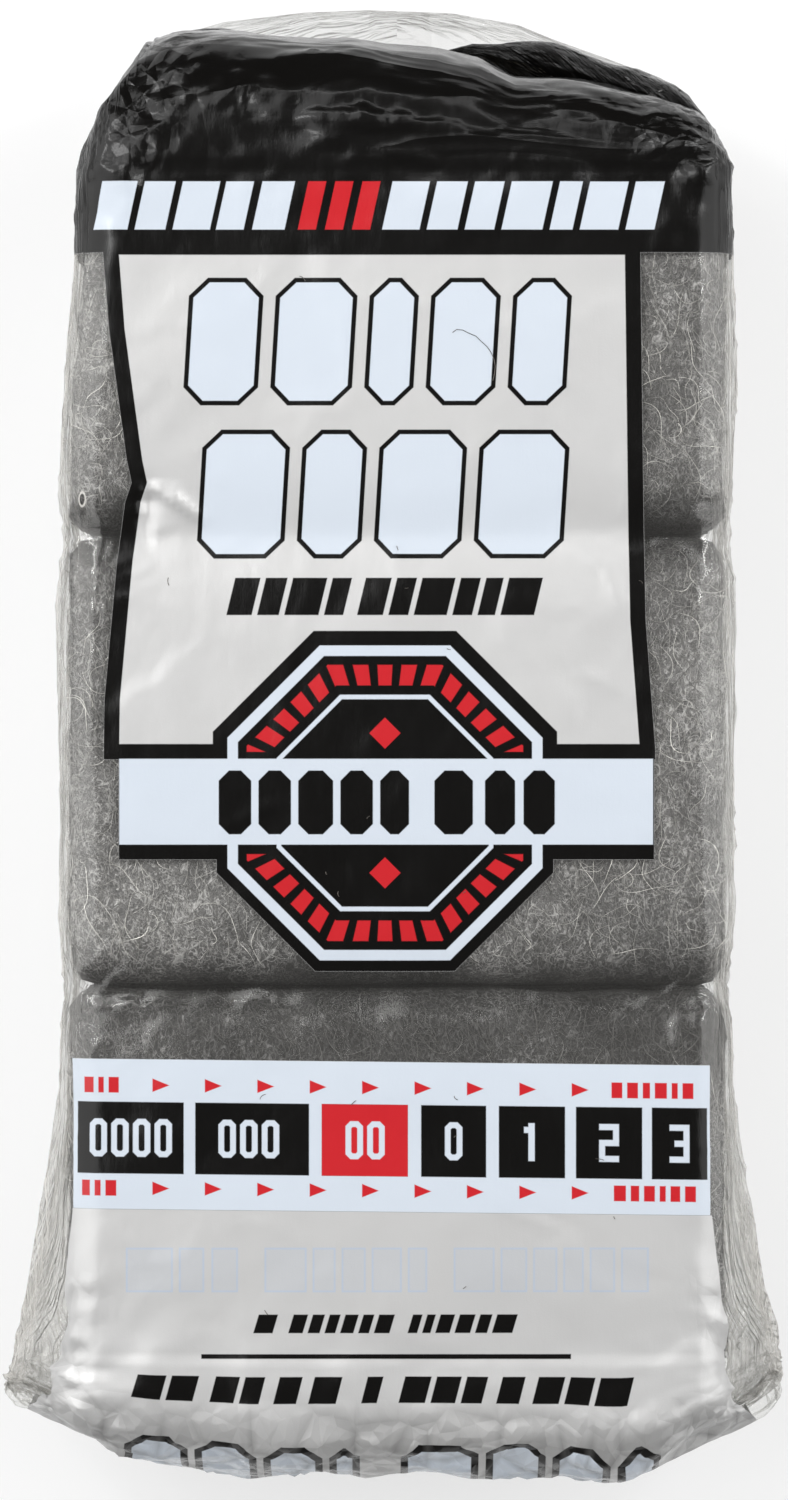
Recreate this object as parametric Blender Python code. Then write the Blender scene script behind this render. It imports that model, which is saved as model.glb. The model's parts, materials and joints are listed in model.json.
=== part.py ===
"""A pack of rolled steel wool pads, sealed in a side-gusseted film bag and lying on its back.

X runs across the pack, +Y towards the bag's filled end with the loose lip, +Z up through the printed front.
The origin is on the surface that the pack lies on, at the middle of its length and width.
Rows of rolled pads lie end to end along Y, and layers of them are stacked along Z.
"""

import math

import bmesh
import bpy

# One rolled pad, in metres
PAD_WIDTH = 0.109  # along X, the axis that the ribbon is rolled about
PAD_HEIGHT = 0.075  # along Y
PAD_THICKNESS = 0.017  # along Z
ROLL_LAYERS = 5  # thicknesses of ribbon across a pad
TURN_SEGMENTS = 6
CORE_START = 0.9  # where the ribbon starts, as a share of a straight run
RIBBON_GAP = 0.0003  # between one turn of the roll and the next
PAD_CORNER = 0.008  # rounding of a pad's corners, seen from the front
PRESSED_CORNER = 0.0225  # the same at the filled end's two corners, where the bag presses the pads
PAD_EDGE = 0.0030  # rounding of a pad's ends, seen from the side
ROUNDING_SHARES = (0.0, 0.62, 0.96)  # of that rounding, from a pad's full section to its end
PRESSED_SHARES = (0.0, 0.35)  # of the pressed corner's length, where it has stations of its own

# How the pads are packed
ROWS = 3
LAYERS = 4
PAD_GAP = 0.0003  # between neighbouring pads

# The film bag
FILM = 0.0003  # wall, a stand-in for film of 0.05 mm
FILM_GAP = 0.0003  # between the film and the pads, and in the slot between folded layers of film
SIDE_ROOM = 0.0013  # between the film and the pads' ends
BAG_EDGE = 0.0048  # rounding of the bag's long edges
EDGE_SEGMENTS = 4
EDGE_END = 8  # degrees left of its quarter turn where a long edge runs into the side
EDGE_OF_DEPTH = 0.9  # most of a section's depth that a rounded edge takes, near the seals
EDGE_OF_WIDTH = 0.4
DIP = 0.0012  # how far the front sinks between two rows
WAIST = 0.0020  # how far each side sinks between two rows
WAIST_REACH = 0.0062  # of a dip, either side of the gap between two rows
DIP_SHARES = (-1, -0.6, -0.3, 0, 0.3, 0.6, 1)  # of that reach, where a dip's rings lie
SHOULDER = 0.012  # length over which the bag's ends round off, inside the last pad
SHOULDER_POWER = 5.0  # bluntness of the ends, where 2 is an ellipse
END_ROOM = 0.0054  # from the last pad to each seal
SEAL_BAND = 0.0022  # length of each seal
TUCK_START = 0.54  # share of an end where its side folds begin
FLARE = 0.0078  # how far the ears at the bottom seal stand out from the body
FLARE_LENGTH = 0.050  # over which the sides widen towards the ears
FLARE_POWER = 1.4  # how much of the widening lies close to the ears
FLARE_SHARES = (0.25, 0.5)  # of that length, where its rings lie
FLARE_CREST = 0.2  # share of a side's flat part that is left where the flare meets the ears
SEAL_SPREAD_POWER = 4  # how late the front and back widen towards the bottom seal
EAR_RISE = 0.0125  # how far the ears are drawn up from the middle of the bottom seal
EAR_RISE_POWER = 5.5  # how much of that rise lies close to the ears
BOTTOM_TUCK = 0.020  # depth of the side fold at the bottom seal
TOP_DRAW = 0.0140  # how far the filled end is drawn in at each side
TOP_DRAW_POWER = 1.3  # how much of that narrowing lies close to the seal
TOP_FALL = 0.0050  # how far the filled end's corners lie below the middle of its seal
TOP_FALL_POWER = 3.0  # how much of that fall lies close to the corners
TOP_TUCK = 0.010  # depth of the side fold at the top seal
LIP = 0.0042  # how far the back panel reaches past the front one at the top
LIP_HALF_WIDTH = 0.038  # of the part of the back panel that reaches out
END_SHARES = (0.28, 0.5, 0.68, 0.82, 0.93, 1.0)  # where an end's rings lie
FLAT_SHARES = (0.0, 0.3, 0.5, 0.75, 0.9)  # of the half width, where the flat front and back have points
FLAT_BETWEEN_FOLDS = 3  # of those points that lie between the side folds at the seals

# The small puncture in the film's left side
PUNCTURE = 0.0016
PUNCTURE_REACH = 0.006  # of its cutter, across the film
PUNCTURE_Y = 0.0420
PUNCTURE_Z = 0.0600

# Worked out from the sizes above
RIBBON = (PAD_THICKNESS - (ROLL_LAYERS - 1) * RIBBON_GAP) / ROLL_LAYERS
RIBBON_PITCH = RIBBON + RIBBON_GAP
WALL = FILM + FILM_GAP
ROW_PITCH = PAD_HEIGHT + PAD_GAP
LAYER_PITCH = PAD_THICKNESS + PAD_GAP
STACK_LENGTH = ROWS * ROW_PITCH - PAD_GAP
STACK_HEIGHT = LAYERS * LAYER_PITCH - PAD_GAP
BAG_HALF_WIDTH = PAD_WIDTH / 2 + SIDE_ROOM + FILM
SEAL_HEIGHT = STACK_HEIGHT / 2 + WALL
SIDE_FLAT = 0.5 * (SEAL_HEIGHT - BAG_EDGE)  # half of the flat part of a side
TUCK_HALF_GAP = FILM_GAP / 2
SEAL_HALF_THICKNESS = 2 * FILM + TUCK_HALF_GAP
EAR_GAP = TUCK_HALF_GAP + FILM / 2  # half of the slot's mouth at an ear
SHOULDER_START = STACK_LENGTH / 2 - SHOULDER
STACK_CENTRE_Y = -LIP / 2  # puts the origin at the middle of the pack's length


def collection_named(name):
    collection = bpy.data.collections.new(name)
    bpy.context.scene.collection.children.link(collection)
    return collection


def material(name, colour, roughness, metallic):
    made = bpy.data.materials.new(name)
    made.use_nodes = True
    shader = made.node_tree.nodes["Principled BSDF"]
    shader.inputs["Base Color"].default_value = (*colour, 1.0)
    shader.inputs["Roughness"].default_value = roughness
    shader.inputs["Metallic"].default_value = metallic
    return made


def loft(name, rings, cap):
    """A closed mesh through rings of equally many points, whose end faces join the points in cap."""
    bm = bmesh.new()
    rows = [[bm.verts.new(point) for point in ring] for ring in rings]
    count = len(rings[0])
    for near, far in zip(rows, rows[1:]):
        for i in range(count):
            j = (i + 1) % count
            bm.faces.new((near[i], near[j], far[j], far[i]))
    for end in (rows[0], rows[-1]):
        for corners in cap:
            bm.faces.new([end[i] for i in corners])
    bmesh.ops.triangulate(bm, faces=bm.faces, quad_method="SHORT_EDGE")
    bmesh.ops.recalc_face_normals(bm, faces=bm.faces)
    mesh = bpy.data.meshes.new(name)
    bm.to_mesh(mesh)
    bm.free()
    mesh.shade_smooth()
    mesh.set_sharp_from_angle(angle=math.radians(40))
    return mesh


# The rolled pad


def roll_centreline():
    """The middle of the ribbon as (y, z) points: a flattened spiral that starts at the core.

    Each half turn goes round outside the one before last, on the same side, and its points lie
    just outside a circle, so that the straight lines between them touch it.
    """
    widest = {
        1: RIBBON_PITCH * (ROLL_LAYERS // 2 - 0.5) + RIBBON / 2,
        -1: RIBBON_PITCH * ((ROLL_LAYERS - 1) // 2) + RIBBON / 2,
    }
    straight = {side: PAD_HEIGHT / 2 - widest[side] for side in widest}
    points = [(-CORE_START * straight[-1], 0.0)]
    for turn in range(1, ROLL_LAYERS):
        side = 1 if turn % 2 else -1
        centre_z = RIBBON_PITCH / 2 if side > 0 else 0.0
        radius = turn * RIBBON_PITCH / 2
        start = -math.pi / 2 * side
        step = math.pi / TURN_SEGMENTS
        for i in range(TURN_SEGMENTS):
            angle = start + step * (i + 0.5)
            out = radius / math.cos(step / 2)
            points.append(
                (side * (straight[side] + out * abs(math.cos(angle))), centre_z + out * math.sin(angle))
            )
    points.append((-side * straight[-side], centre_z + side * radius))
    return points


def offset_line(points, distance):
    """The line moved sideways by distance, with mitred corners."""
    moved = []
    for i, (y, z) in enumerate(points):
        before = points[max(i - 1, 0)]
        after = points[min(i + 1, len(points) - 1)]
        normals = []
        for a, b in ((before, (y, z)), ((y, z), after)):
            length = math.hypot(b[0] - a[0], b[1] - a[1])
            if length > 0:
                normals.append(((a[1] - b[1]) / length, (b[0] - a[0]) / length))
        ny = sum(n[0] for n in normals) / len(normals)
        nz = sum(n[1] for n in normals) / len(normals)
        scale = distance / (ny * ny + nz * nz)
        moved.append((y + ny * scale, z + nz * scale))
    return moved


def roll_outline():
    """Both sides of the ribbon as one closed outline."""
    centre = roll_centreline()
    one_side = offset_line(centre, RIBBON / 2)
    other_side = offset_line(centre, -RIBBON / 2)
    return one_side + other_side[::-1]


def drawn_at(x, corner):
    """How far a rounded corner has drawn an edge in at x, as a share of its radius."""
    full = ROUNDING_SHARES[-1]
    share = full * max(1 - (PAD_WIDTH / 2 - x) / corner, 0.0)
    return 1 - math.sqrt(1 - share * share)


def pad_stations(top_corner):
    """Places along the roll's axis, with how far its outline is drawn in there below, above and in Z."""
    places = [PAD_WIDTH / 2 - PAD_CORNER * (1 - share / ROUNDING_SHARES[-1]) for share in ROUNDING_SHARES]
    if top_corner > PAD_CORNER:
        places += [PAD_WIDTH / 2 - top_corner * (1 - share) for share in PRESSED_SHARES]
    end = []
    for x in sorted(places):
        drawn = drawn_at(x, PAD_CORNER)
        end.append((x, PAD_CORNER * drawn, top_corner * drawn_at(x, top_corner), PAD_EDGE * drawn))
    return [(-x, *drawn) for x, *drawn in reversed(end)] + end


def pad_mesh(name, top_corner):
    outline = roll_outline()
    rings = []
    for x, below, above, drawn_z in pad_stations(top_corner):
        scale_z = 1 - 2 * drawn_z / PAD_THICKNESS
        ring = []
        for y, z in outline:
            drawn_y = above if y > 0 else below
            ring.append((x, y * (1 - 2 * drawn_y / PAD_HEIGHT), z * scale_z))
        rings.append(ring)
    count = len(outline)
    cap = [(i, i + 1, count - 2 - i, count - 1 - i) for i in range(count // 2 - 1)]
    return loft(name, rings, cap)


def add_pads(collection, wool):
    plain = pad_mesh("rolled_pad", PAD_CORNER)
    pressed = pad_mesh("pressed_pad", PRESSED_CORNER)
    for mesh in (plain, pressed):
        mesh.materials.append(wool)
    number = 0
    for layer in range(LAYERS):
        for row in range(ROWS):
            number += 1
            mesh = pressed if row == ROWS - 1 else plain
            pad = bpy.data.objects.new(f"wool_pad_{number:02d}", mesh)
            pad.location = (
                0.0,
                STACK_CENTRE_Y + (row - (ROWS - 1) / 2) * ROW_PITCH,
                WALL + PAD_THICKNESS / 2 + layer * LAYER_PITCH,
            )
            collection.objects.link(pad)


# The film bag


def dip_at(y):
    """Share of the full dip at y, which is 1 at the gap between two rows and 0 away from it."""
    deepest = 0.0
    for gap in range(1, ROWS):
        away = abs(y - (gap - ROWS / 2) * ROW_PITCH)
        if away < WAIST_REACH:
            deepest = max(deepest, math.cos(math.pi / 2 * away / WAIST_REACH) ** 2)
    return deepest


def flare_at(y):
    """How far the ears' flare has widened the side at y."""
    start = FLARE_LENGTH - SHOULDER_START
    share = min(max((start - y) / FLARE_LENGTH, 0.0), 1.0)
    return FLARE * share**FLARE_POWER


def rounded_end(share, power=SHOULDER_POWER):
    """Height of a blunt end, from 1 where it starts to 0 at the seal."""
    return max(1 - share**power, 0.0) ** (1 / power)


def edge_arc(centre_x, centre_z, radius, start_deg, end_deg):
    points = []
    for i in range(EDGE_SEGMENTS + 1):
        angle = math.radians(start_deg + (end_deg - start_deg) * i / EDGE_SEGMENTS)
        points.append((centre_x + radius * math.cos(angle), centre_z + radius * math.sin(angle)))
    return points


def section_ring(half_width, half_depth, crest, crest_gap, tuck, sunk, inset, y_at):
    """A closed ring round the bag as (x, y, z).

    half_depth is measured from the seal's height, and sunk is how far the front lies below it.
    Each side stands out to crest at crest_gap above and below the seal's height, and folds in
    between those two crests by tuck. inset draws the whole ring in, and y_at gives y for each (x, z).
    """
    middle = SEAL_HEIGHT
    wide = half_width - inset
    deep = half_depth - inset
    edge = min(BAG_EDGE - inset, EDGE_OF_DEPTH * (deep - crest_gap - inset), EDGE_OF_WIDTH * wide)
    top = middle + deep - sunk
    bottom = middle - deep
    fold = min(crest_gap, TUCK_HALF_GAP) + inset
    flat = [share * (wide - edge) for share in FLAT_SHARES]
    half = [(x, top) for x in flat]
    half += edge_arc(wide - edge, top - edge, edge, 90, EDGE_END)
    half += [
        (crest - inset, middle + crest_gap + inset),
        (crest - inset - tuck, middle + fold),
        (crest - inset - tuck, middle - fold),
        (crest - inset, middle - crest_gap - inset),
    ]
    half += edge_arc(wide - edge, bottom + edge, edge, -EDGE_END, -90)
    half += [(x, bottom) for x in reversed(flat)]
    whole = half + [(-x, z) for x, z in half[-2:0:-1]]
    return [(x, STACK_CENTRE_Y + y_at(x, z), z) for x, z in whole]


def bag_cap():
    """Faces across a ring of the bag, which leave the folds in its sides open."""
    inner = FLAT_BETWEEN_FOLDS - 1
    fold = len(FLAT_SHARES) + EDGE_SEGMENTS + 2
    last = 2 * fold + 1
    right = [(i, i + 1, last - i - 1, last - i) for i in range(inner)]
    right.append((inner, fold, fold + 1, last - inner))
    for i in range(inner, fold - 1):
        right.append((fold, i, i + 1))
        right.append((fold + 1, last - i - 1, last - i))
    left = [tuple(-i % (2 * last) for i in corners) for corners in right]
    return right + left


def body_places():
    """Where the body's rings lie: its two shoulders, close together at each dip, and along the flare."""
    places = [-SHOULDER_START, SHOULDER_START]
    for gap in range(1, ROWS):
        middle = (gap - ROWS / 2) * ROW_PITCH
        places += [middle + WAIST_REACH * share for share in DIP_SHARES]
    places += [FLARE_LENGTH * share - SHOULDER_START for share in FLARE_SHARES]
    return sorted(place for place in places if abs(place) <= SHOULDER_START)


def body_ring(y, inset):
    dip = dip_at(y)
    flare = flare_at(y)
    half_width = BAG_HALF_WIDTH - WAIST * dip
    crest_gap = SIDE_FLAT * (1 - (1 - FLARE_CREST) * flare / FLARE)

    def y_at(x, z):
        return y

    crest = half_width + flare
    return section_ring(half_width, SEAL_HEIGHT, crest, crest_gap, 0.0, DIP * dip, inset, y_at)


def end_place(share, inset):
    """How far from the middle a ring of an end lies, and its half depth."""
    reach = SHOULDER + END_ROOM - inset
    depth = (SEAL_HEIGHT - SEAL_HALF_THICKNESS) * rounded_end(share) + SEAL_HALF_THICKNESS
    return SHOULDER_START + reach * share, depth


def crest_gap_at(share, start_gap):
    """How far the two crests of a side stand from the seal's height, closing up towards the seal."""
    return EAR_GAP + (start_gap - EAR_GAP) * rounded_end(share)


def end_ring(half_width, depth, crest, gap, tuck, inset, y_at):
    """A ring of an end. The room inside ends at the folds, whose layers of film lie flat together."""
    if not inset:
        return section_ring(half_width, depth, crest, gap, tuck, 0.0, inset, y_at)
    side = crest - tuck
    return section_ring(min(half_width, side), depth, side, gap, 0.0, 0.0, inset, y_at)


def bottom_ring(share, inset, beyond=0.0):
    """A ring of the bottom end, from 0 at the shoulder to 1 at the seal and beyond it."""
    away, depth = end_place(share, inset)
    ear = BAG_HALF_WIDTH + FLARE
    half_width = BAG_HALF_WIDTH + (FLARE - FILM) * share**SEAL_SPREAD_POWER
    gap = crest_gap_at(share, FLARE_CREST * SIDE_FLAT)
    tuck = BOTTOM_TUCK * max(share - TUCK_START, 0.0) / (1 - TUCK_START)
    rise = EAR_RISE * share

    def y_at(x, z):
        return rise * min(abs(x) / ear, 1.0) ** EAR_RISE_POWER - away - beyond

    return end_ring(half_width, depth, ear, gap, tuck, inset, y_at)


def top_ring(share, inset, beyond=0.0, lip=0.0):
    """A ring of the filled end. lip lengthens the back panel past the front one."""
    away, depth = end_place(share, inset)
    half_width = BAG_HALF_WIDTH - TOP_DRAW * share**TOP_DRAW_POWER
    gap = crest_gap_at(share, SIDE_FLAT)
    tuck = TOP_TUCK * max(share - TUCK_START, 0.0) / (1 - TUCK_START)

    def y_at(x, z):
        across = min(abs(x) / LIP_HALF_WIDTH, 1.0)
        reach = lip * (1 - across**2) if z < SEAL_HEIGHT - TUCK_HALF_GAP else 0.0
        fall = TOP_FALL * share * min(abs(x) / half_width, 1.0) ** TOP_FALL_POWER
        return away + beyond + reach - fall

    return end_ring(half_width, depth, half_width, gap, tuck, inset, y_at)


def bag_rings(inset):
    """The bag's rings from seal to seal, or those of the room inside it."""
    shares = [share for share in END_SHARES if not inset or share < 1]
    rings = [bottom_ring(share, inset) for share in reversed(shares)]
    rings += [body_ring(y, inset) for y in body_places()]
    rings += [top_ring(share, inset) for share in shares]
    return rings


def add_bag(collection, cutters, clear_film):
    rings = [bottom_ring(1.0, 0.0, beyond=SEAL_BAND)] + bag_rings(0.0)
    rings.append(top_ring(1.0, 0.0, beyond=SEAL_BAND, lip=LIP))
    mesh = loft("film_bag", rings, bag_cap())
    mesh.materials.append(clear_film)
    bag = bpy.data.objects.new("film_bag", mesh)
    collection.objects.link(bag)

    room = bpy.data.objects.new("room_for_pads", loft("room_for_pads", bag_rings(FILM), bag_cap()))
    cutters.objects.link(room)

    bpy.ops.mesh.primitive_cylinder_add(
        vertices=10,
        radius=PUNCTURE / 2,
        depth=PUNCTURE_REACH,
        location=(-BAG_HALF_WIDTH, STACK_CENTRE_Y + PUNCTURE_Y, PUNCTURE_Z),
        rotation=(0.0, math.pi / 2, 0.0),
    )
    puncture = bpy.context.object
    puncture.name = "puncture"
    for collection_in in list(puncture.users_collection):
        collection_in.objects.unlink(puncture)
    cutters.objects.link(puncture)

    for cutter in (room, puncture):
        cutter.hide_render = True
        cutter.display_type = "WIRE"
        cut = bag.modifiers.new(cutter.name, "BOOLEAN")
        cut.operation = "DIFFERENCE"
        cut.object = cutter


def main():
    for leftover in list(bpy.data.objects):
        bpy.data.objects.remove(leftover, do_unlink=True)
    pack = collection_named("steel_wool_pad_pack")
    cutters = collection_named("cutters")
    wool = material("steel_wool", (0.17, 0.165, 0.16), 0.42, 0.85)
    clear_film = material("clear_film", (0.80, 0.80, 0.80), 0.12, 0.0)
    add_pads(pack, wool)
    add_bag(pack, cutters, clear_film)


main()
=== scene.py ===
import json
import math

import bmesh
import bpy
import numpy as np
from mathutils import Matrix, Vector
from mathutils.bvhtree import BVHTree

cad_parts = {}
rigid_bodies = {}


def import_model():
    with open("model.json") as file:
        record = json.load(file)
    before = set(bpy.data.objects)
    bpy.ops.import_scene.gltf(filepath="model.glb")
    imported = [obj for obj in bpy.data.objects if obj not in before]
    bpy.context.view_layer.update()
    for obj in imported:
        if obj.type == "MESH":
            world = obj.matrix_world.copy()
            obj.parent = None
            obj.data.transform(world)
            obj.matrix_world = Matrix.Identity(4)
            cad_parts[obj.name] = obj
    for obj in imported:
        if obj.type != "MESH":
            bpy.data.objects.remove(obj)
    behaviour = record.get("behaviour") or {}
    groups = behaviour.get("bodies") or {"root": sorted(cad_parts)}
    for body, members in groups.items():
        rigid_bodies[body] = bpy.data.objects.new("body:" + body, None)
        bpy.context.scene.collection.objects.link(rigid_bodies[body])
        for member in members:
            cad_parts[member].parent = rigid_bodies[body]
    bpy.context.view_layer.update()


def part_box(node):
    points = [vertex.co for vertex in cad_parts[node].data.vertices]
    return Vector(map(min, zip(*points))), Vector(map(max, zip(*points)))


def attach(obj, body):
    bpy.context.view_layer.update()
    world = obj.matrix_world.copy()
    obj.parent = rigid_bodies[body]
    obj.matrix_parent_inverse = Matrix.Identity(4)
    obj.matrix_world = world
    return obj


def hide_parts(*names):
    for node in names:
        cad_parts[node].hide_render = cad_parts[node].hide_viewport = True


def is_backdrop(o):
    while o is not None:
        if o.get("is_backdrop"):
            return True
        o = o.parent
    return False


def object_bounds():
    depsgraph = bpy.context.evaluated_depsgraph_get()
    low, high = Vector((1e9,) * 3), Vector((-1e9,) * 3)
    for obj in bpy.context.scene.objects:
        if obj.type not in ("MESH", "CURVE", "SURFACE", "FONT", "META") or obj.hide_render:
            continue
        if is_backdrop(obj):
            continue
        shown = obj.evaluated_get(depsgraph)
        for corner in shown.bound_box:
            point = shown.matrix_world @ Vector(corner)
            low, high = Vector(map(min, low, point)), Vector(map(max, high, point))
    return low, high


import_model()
mm = 0.001
printSheet = 400.0   # millimetres of flat film that the print's own map spans


def addObject(name, data):
    piece = bpy.data.objects.new(name, data)
    bpy.context.scene.collection.objects.link(piece)
    return piece


def readRows(elements, field, width=3):
    # one field of many mesh elements, as rows of numbers
    values = np.zeros(len(elements) * width)
    elements.foreach_get(field, values)
    return values.reshape(-1, width)


# Film bag: the tube of film before it is creased

bagShape = {
    "halfWidth": 56.1,
    "depth": 70.1,
    "cornerRadius": 6.5,
    "crestDrop": 8.0,        # of a side fold's outer crease below the front, along the body
    "bottomStart": -101.0,   # where the front starts to round off towards the bottom seal
    "topStart": 96.5,
    "bottomPower": 4.0,      # bluntness of the two ends
    "topPower": 4.0,
    "flareStart": -56.0,
    "flareWidth": 10.3,      # of the ears beyond the sides
    "flareShare": 0.86,      # of that width, where the bottom end starts
    "flarePower": 1.3,
    "rightEar": 0.88,        # of the left ear's width
    "leftDraw": 2.9,         # how far the left side is drawn in near the top
    "drawStart": 42.0,
    "seamWide": 1.029,       # the ears lie half a depth behind the front, where the camera sees less
    "seamLong": {"bottom": 1.010, "front": 1.018, "lip": 1.029},
    "layerGap": 0.45,        # between layers of film that lie together
    "lapWidth": 7.0,         # half the width of the sheet's overlap along the back
    "rowGaps": (-39.8, 35.5),
    "rowDip": 1.0,           # how far the front sinks between two rows
    "rowWaist": 1.2,
    "rowDipReach": 17.0,
    "bulge": 0.7,            # of the front over the middle of a row
}

# the bottom seal's edge and the top's three edges, across the pack, as (x, y)
bottomSeam = [(-66.5, -106.5), (-61.5, -108.2), (-57.5, -110.0), (-46.5, -116.4), (-39.5, -118.9), (-24.0, -121.0),
              (0.5, -120.6), (26.8, -121.2), (33.0, -122.3), (36.0, -122.4), (39.5, -121.0), (47.0, -117.3),
              (59.8, -109.4), (64.5, -103.2), (66.5, -100.0)]
frontEdge = [(-41.0, 117.3), (-36.0, 118.9), (-30.5, 119.3), (-25.4, 119.0), (-19.4, 118.4), (-7.6, 118.1),
             (-2.5, 117.1), (6.5, 116.1), (13.3, 114.3), (19.0, 111.4), (30.0, 110.4), (37.0, 108.8), (50.5, 105.6)]
gussetEdge = [(-41.0, 117.3), (-36.0, 119.3), (-29.5, 120.8), (-19.0, 118.9), (6.0, 116.6), (12.5, 118.2),
              (25.0, 118.3), (35.0, 114.9), (44.8, 111.4), (50.5, 106.6)]
lipEdge = [(-41.0, 117.0), (-29.0, 120.7), (-15.5, 122.3), (-4.6, 122.7), (9.0, 122.2), (20.0, 120.3),
           (25.5, 118.0), (35.0, 114.6), (44.8, 111.0), (50.5, 106.4)]
topCrest = {"left": 41.0, "right": 50.5}
topTuck = {"left": 20.0, "right": 7.0}
earTuck = {"left": 40.0, "right": 38.0}

sheetGrid = {
    "frontColumns": 60,      # from the middle of the front to a side fold's crease
    "foldColumns": 22,       # from that crease to the middle of the side
    "backColumns": 36,
    "bottomRows": 50,
    "bodyRows": 212,
    "topRows": 50,
}


def pathPoints(corners, count, power=1.0):
    # evenly spaced points along a path, the ends included
    corners = np.asarray(corners, float)
    steps = np.hypot(*np.diff(corners, axis=0).T)
    along = np.concatenate([[0.0], np.cumsum(steps)])
    wanted = along[-1] * np.linspace(0.0, 1.0, count + 1) ** power
    return np.column_stack([np.interp(wanted, along, corners[:, k]) for k in range(2)]), along[-1]


def cornerArc(x, z, radius, start, end, steps=8):
    angles = np.radians(np.linspace(start, end, steps + 1))
    return [(x + radius * math.cos(a), z + radius * math.sin(a)) for a in angles]


def halfSection(halfWidth, top, bottom, crestX, crestGap, tuckX, tuckGap):
    # (x, z) from the middle of the front round one side to the middle of the back, and its path length
    middle = bagShape["depth"] / 2
    deep = min(top - middle, middle - bottom)
    radius = max(min(bagShape["cornerRadius"], 0.8 * (deep - crestGap)), 0.05)
    width = min(halfWidth, crestX)
    upper = [(0.0, top)] + cornerArc(width - radius, top - radius, radius, 90, 5) + [(crestX, middle + crestGap)]
    lower = [(crestX, middle - crestGap)] + cornerArc(width - radius, bottom + radius, radius, -5, -90)
    lower += [(0.0, bottom)]
    pieces = [
        pathPoints(upper, sheetGrid["frontColumns"]),
        pathPoints([(crestX, middle + crestGap), (tuckX, middle + tuckGap)], sheetGrid["foldColumns"]),
        pathPoints([(tuckX, middle - tuckGap), (crestX, middle - crestGap)], sheetGrid["foldColumns"]),
        pathPoints(lower, sheetGrid["backColumns"]),
    ]
    points = [pieces[0][0]] + [piece[0][1:] for piece in pieces[1:]]
    lengths = [pieces[0][1] * np.linspace(0, 1, sheetGrid["frontColumns"] + 1)]
    for (_, length), key in zip(pieces[1:], ("foldColumns", "foldColumns", "backColumns")):
        lengths.append(lengths[-1][-1] + length * np.linspace(0, 1, sheetGrid[key] + 1)[1:])
    return np.concatenate(points), np.concatenate(lengths)


def smoothStep(value):
    value = np.clip(value, 0.0, 1.0)
    return value * value * (3 - 2 * value)


def rowDipAt(y):
    # 1 in the gap between two rows, falling to 0 away from it
    deepest = 0.0
    for gap in bagShape["rowGaps"]:
        away = abs(y - gap) / bagShape["rowDipReach"]
        deepest = max(deepest, math.exp(-(away * 2.6) ** 1.6))
    return deepest


def rowBulgeAt(y):
    ends = [bagShape["bottomStart"] - 14, *bagShape["rowGaps"], bagShape["topStart"] + 14]
    for low, high in zip(ends, ends[1:]):
        if low <= y <= high:
            return math.sin(math.pi * (y - low) / (high - low)) ** 0.7
    return 0.0


def bodySection(y, side):
    s = bagShape
    dip = rowDipAt(y)
    flare = max((s["flareStart"] - y) / (s["flareStart"] - s["bottomStart"]), 0.0)
    halfWidth = s["halfWidth"] - s["rowWaist"] * dip
    if side == "left":
        halfWidth -= s["leftDraw"] * smoothStep((y - s["drawStart"]) / (s["topStart"] - s["drawStart"]))
    top = s["depth"] - s["rowDip"] * dip + s["bulge"] * (rowBulgeAt(y) - 1)
    crestX = halfWidth + s["flareWidth"] * s["flareShare"] * flare ** s["flarePower"]
    crestGap = (s["depth"] / 2 - s["crestDrop"]) * (1 - s["flareShare"] * flare ** s["flarePower"])
    return halfSection(halfWidth, top, 0.0, crestX, crestGap, halfWidth + 0.1, 0.05)


def endRows(power, rows, reach):
    # shares of an end's length at which its rows lie, evenly spaced along its profile
    share = 1 - np.linspace(1, 0, 400) ** 2.2
    height = (1 - share**power) ** (1 / power)
    profile = np.column_stack([share * reach, height * bagShape["depth"] / 2])
    along = np.concatenate([[0.0], np.cumsum(np.hypot(*np.diff(profile, axis=0).T))])
    wanted = along[-1] * np.linspace(0, 1, rows + 1)[1:]
    return np.interp(wanted, along, share), wanted


def endSection(share, power, crestX, tuckX, startCrest, startGap, drawn):
    s = bagShape
    height = (1 - share**power) ** (1 / power)
    middle = s["depth"] / 2
    outer = 1.5 * s["layerGap"]
    deep = outer + (middle - outer) * height
    gap = 0.5 * s["layerGap"] + 0.2 + (startGap - 0.5 * s["layerGap"] - 0.2) * height
    gap = min(gap, 0.8 * deep)
    x = startCrest + (crestX - startCrest) * share**1.3
    body = s["halfWidth"] - drawn
    halfWidth = body + (crestX - body) * share ** (4 if crestX > body else 1.3)
    folded = smoothStep((share - 0.35) / 0.65)
    tuck = min(body + 0.1, x) + (tuckX - min(body + 0.1, x)) * folded
    return halfSection(min(halfWidth, x), middle + deep, middle - deep, x, gap, tuck, 0.5 * s["layerGap"])


def edgeHeight(curve, x, stretch):
    xs, ys = np.array(curve).T
    return np.interp(x, xs * bagShape["seamWide"], ys * stretch)


def joinHalves(right, left):
    # a whole ring from the middle of the back, over the left side and the front, to the middle of the back
    mirrored = left[0][::-1].copy()
    mirrored[:, 0] *= -1
    return np.concatenate([mirrored, right[0][1:]]), np.concatenate([-left[1][::-1], right[1][1:]])


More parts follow.
